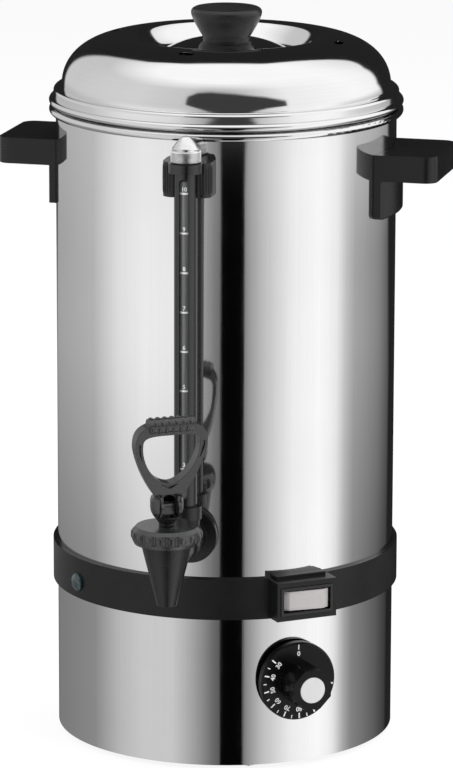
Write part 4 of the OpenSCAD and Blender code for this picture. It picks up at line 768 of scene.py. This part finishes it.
def makeDialMarks():
    v = dialMarks
    face = place(urn["dialTurn"], urn["dialFace"] + v["above"], urn["dialHeight"])
    face = face @ Matrix.Rotation(math.pi / 2, 4, "X")
    parts = []

    def turned(angle, out):
        move = face @ Matrix.Rotation(math.radians(angle), 4, "Z") @ Matrix.Translation((0, out, 0))
        return lambda p: move @ p

    def line(angle, length, width):
        parts.append((bar(width, length, markThick, 1), turned(angle, v["ringOut"] - length / 2)))
    line(0, v["tall"], v["line"])
    parts.append((textMesh("off", "0", v["digits"]), turned(0, v["digitsOut"])))
    count = (v["highest"] - v["lowest"]) // v["byTens"]
    for k in range(count + 1):
        angle = v["first"] + k * v["step"]
        line(angle, v["tall"], v["wide"])
        degrees = str(v["lowest"] + k * v["byTens"])
        parts.append((textMesh("degrees", degrees, v["digits"]), turned(angle, v["digitsOut"])))
        if k < count:
            line(angle + v["step"] / 2, v["short"], v["line"])
    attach(gathered("dialMarks", parts, "marks"), "dial")


makeDialMarks()
print("marks ready")

# ---- stage: pale floor, a tent of soft light with a dark slot in front, and a few lamps
view = dict(turn=11.4, elevation=13.1, distance=3.142, targetHeight=0.2319, aside=0.0006, roll=0.15,
            focal=4740, picture=768, sensor=36, far=40)
# glow of the tent by turn from the camera, where it meets the wall's mirror image (wall), the wall's lower
# part (sink) and the lid's (lid); a dark bar with a post stands in front, and the room behind the urn is dark
tent = dict(radius=4.3, height=0.25, top=1.35, dark=0.02, barDark=0.06, postDark=0.002, edge=2.2, roof=60.8,
            sinkFrom=12.0, sinkTo=17.0, lidFrom=-10, lidTo=0, topFrom=42, topTo=64, barFrom=-28, barTo=42,
            barFoot=-8, barEdge=0.8, barSoftLow=2, barSoftHigh=5,
            wall=((-180, 0.25), (-155, 0.45), (-100, 0.66), (-76, 1.1), (-56, 1.25), (-36, 1.2), (-14, 0.5),
                  (-8, 0.3), (-3.4, 0.22), (12.4, 0.3), (13.8, 0.4), (16, 0.48), (24, 0.72), (46, 1.25),
                  (66, 1.4), (80, 1.22), (88, 0.8), (97, 0.55), (126, 0.33), (137, 0.2), (146, 0.12),
                  (180, 0.1)),
            sink=((-180, 0.55), (-100, 0.55), (-60, 0.68), (-20, 0.72), (-3, 0.7), (10, 0.8), (25, 1.0),
                  (75, 1.0), (95, 0.6), (130, 0.42), (180, 0.42)),
            lid=((-180, 0.7), (-130, 0.78), (-100, 0.86), (-65, 0.9), (-30, 0.8), (-15, 0.6), (0, 0.62),
                 (15, 0.78), (30, 1.0), (45, 1.2), (65, 1.27), (100, 1.36), (120, 1.3), (140, 1.1),
                 (180, 1.0)),
            rightEdge=((-13, 146), (-9, 141), (0, 133), (5, 130), (27, 134), (36, 145), (50, 157), (60, 163)),
            leftEdge=((-13, 171), (-9, 160), (-6, 153), (35, 154), (53, 151), (60, 160)),
            barTop=((-28, 24), (-22, 35), (-12, 38), (7, 34), (28, 24), (36, 17), (42, 12)),
            barLow=((-28, 7), (-13, -4), (-5, -7), (-3.3, -8), (-3.2, -75), (12.0, -75), (12.1, -8), (28, 0),
                    (42, 3)),
            turns=((-180, 0.5, 348), (-6, 0.25, 88), (16, 0.5, 329)),
            rises=((-75, 20, 2), (-38, 12, 2), (-20, 0.7, 122), (70, 6, 3), (89.5, 1, 1)))


def between(pairs, at):
    if at <= pairs[0][0]:
        return pairs[0][1]
    for (a, low), (b, high) in zip(pairs, pairs[1:]):
        if at <= b:
            return low + (high - low) * (at - a) / (b - a)
    return pairs[-1][1]


def ramped(at, low, high):
    return min(max((at - low) / (high - low), 0.0), 1.0)


def glowAt(turn, rise):
    v = tent
    wall = between(v["wall"], turn)
    wall *= 1 - (1 - between(v["sink"], turn)) * ramped(-rise, v["sinkFrom"], v["sinkTo"])
    lid = between(v["lid"], turn)
    lid += (v["top"] - lid) * ramped(rise, v["topFrom"], v["topTo"])
    glow = wall + (lid - wall) * ramped(rise, v["lidFrom"], v["lidTo"])
    right, left = between(v["rightEdge"], rise), between(v["leftEdge"], rise)
    soft = v["edge"]
    behind = max(ramped(turn, right - soft, right + soft), ramped(-turn, left - soft, left + soft))
    behind *= 1 - ramped(rise, v["roof"] - soft, v["roof"] + soft)
    glow += (v["dark"] - glow) * behind
    if v["barFrom"] < turn < v["barTo"]:
        low, high = between(v["barLow"], turn), between(v["barTop"], turn)
        bar = ramped(rise, low - v["barEdge"], low + v["barEdge"])
        bar *= 1 - ramped(rise, high - v["barSoftLow"], high + v["barSoftHigh"])
        glow += ((v["barDark"] if rise > v["barFoot"] else v["postDark"]) - glow) * bar
    return glow


def makeTent():
    v = tent
    verts, faces, glow = [], [], []
    turns, rises = ([low + step * n for low, step, count in v[key] for n in range(count)]
                    for key in ("turns", "rises"))
    for rise in rises:
        for turn in turns:
            a = math.radians(turn + view["turn"])
            e = math.radians(rise)
            verts.append((v["radius"] * math.sin(a) * math.cos(e), -v["radius"] * math.cos(a) * math.cos(e),
                          v["height"] + v["radius"] * math.sin(e)))
            glow.append(glowAt(turn, rise))
    n = len(turns)
    for r in range(len(rises) - 1):
        for k in range(n - 1):
            faces.append((r * n + k, (r + 1) * n + k, (r + 1) * n + k + 1, r * n + k + 1))
    thing = newMesh("lightTent", verts, faces)
    colour = thing.data.color_attributes.new("glow", "FLOAT_COLOR", "POINT")
    for k, g in enumerate(glow):
        colour.data[k].color = (g, g, g, 1.0)
    f = Finish("tentCloth", Base_Color=(0, 0, 0, 1), Roughness=1.0, Emission_Strength=1.0,
               Specular_IOR_Level=0.0)
    seen = f.node("ShaderNodeAttribute", dict(attribute_name="glow"))
    thing.data.materials.append(f.feed(Emission_Color=seen.outputs["Color"]))
    thing.visible_camera = False
    thing.visible_shadow = False


makeTent()

floorLook = dict(half=7.0, tone=0.9, spread=0.02, rough=0.9, cloud=3.0, glow=0.88)


def seenDirectly(tree):
    # 1 for what the camera sees, also in metal and through glass, and 0 for light on the object
    path = tree.nodes.new("ShaderNodeLightPath")
    camera, glossy, through = (Value(tree, path.outputs[name]) for name in
                               ("Is Camera Ray", "Is Glossy Ray", "Is Transmission Ray"))
    return (camera + glossy + through).clamped()


def makeFloor():
    v = floorLook
    corners = [(x * v["half"], y * v["half"], 0) for x, y in ((-1, -1), (1, -1), (1, 1), (-1, 1))]
    floor = newMesh("floor", corners, [(0, 1, 2, 3)], False)
    f = Finish("paleFloor", Roughness=v["rough"], Specular_IOR_Level=0.0)
    cloud = f.noise(v["cloud"])
    f.feed(Base_Color=f.colours(cloud, *greys((0.3, v["tone"]), (0.7, v["tone"] + v["spread"]))))
    lit = f.node("ShaderNodeEmission", Color=(1.0, 1.0, 1.0, 1.0), Strength=1.0)
    seen = seenDirectly(f.tree) * v["glow"]
    mixed = f.node("ShaderNodeMixShader", Fac=seen)
    f.tree.links.new(f.shader.outputs[0], mixed.inputs[1])
    f.tree.links.new(lit.outputs[0], mixed.inputs[2])
    f.tree.links.new(mixed.outputs[0], f.tree.nodes["Material Output"].inputs["Surface"])
    floor.data.materials.append(f.material)
    floor.visible_glossy = False


makeFloor()

lamps = dict(
    left=dict(at=(-1.6, -1.9, 1.9), size=0.9, power=26.0),
    right=dict(at=(1.9, -1.2, 1.6), size=0.7, power=18.0),
    top=dict(at=(0.2, 0.5, 2.6), size=1.6, power=46.0))
lampAim = Vector((0, 0, 0.22))
for name, lamp in lamps.items():
    data = bpy.data.lights.new(name + "Lamp", "AREA")
    data.size = lamp["size"]
    data.energy = lamp["power"]
    made = bpy.data.objects.new(name + "Lamp", data)
    made.location = lamp["at"]
    made.visible_glossy = False
    made.rotation_euler = (lampAim - Vector(lamp["at"])).to_track_quat("-Z", "Y").to_euler()
    bpy.context.collection.objects.link(made)

world = bpy.data.worlds.new("studio")
bpy.context.scene.world = world
world.use_nodes = True
backdrop = world.node_tree.nodes["Background"]
backdrop.inputs["Color"].default_value = (1.0, 1.0, 1.0, 1.0)
litBy = 0.4  # share of the backdrop's light that reaches the object
brightness = seenDirectly(world.node_tree) * (1 - litBy) + litBy
world.node_tree.links.new(brightness.socket, backdrop.inputs["Strength"])

# ---- camera
a, e = math.radians(view["turn"]), math.radians(view["elevation"])
aim = Vector((view["aside"] * math.cos(a), view["aside"] * math.sin(a), view["targetHeight"]))
eye = aim + view["distance"] * Vector((math.sin(a) * math.cos(e), -math.cos(a) * math.cos(e), math.sin(e)))
camera = bpy.data.cameras.new("camera")
camera.lens = view["focal"] / view["picture"] * view["sensor"]
camera.sensor_width = view["sensor"]
camera.clip_end = view["far"]
seat = bpy.data.objects.new("camera", camera)
seat.location = eye
level = (aim - eye).to_track_quat("-Z", "Y")
seat.rotation_euler = (level @ Quaternion((0, 0, 1), math.radians(view["roll"]))).to_euler()
bpy.context.collection.objects.link(seat)
bpy.context.scene.camera = seat
bpy.context.scene.view_settings.view_transform = "Standard"
print("stage ready")
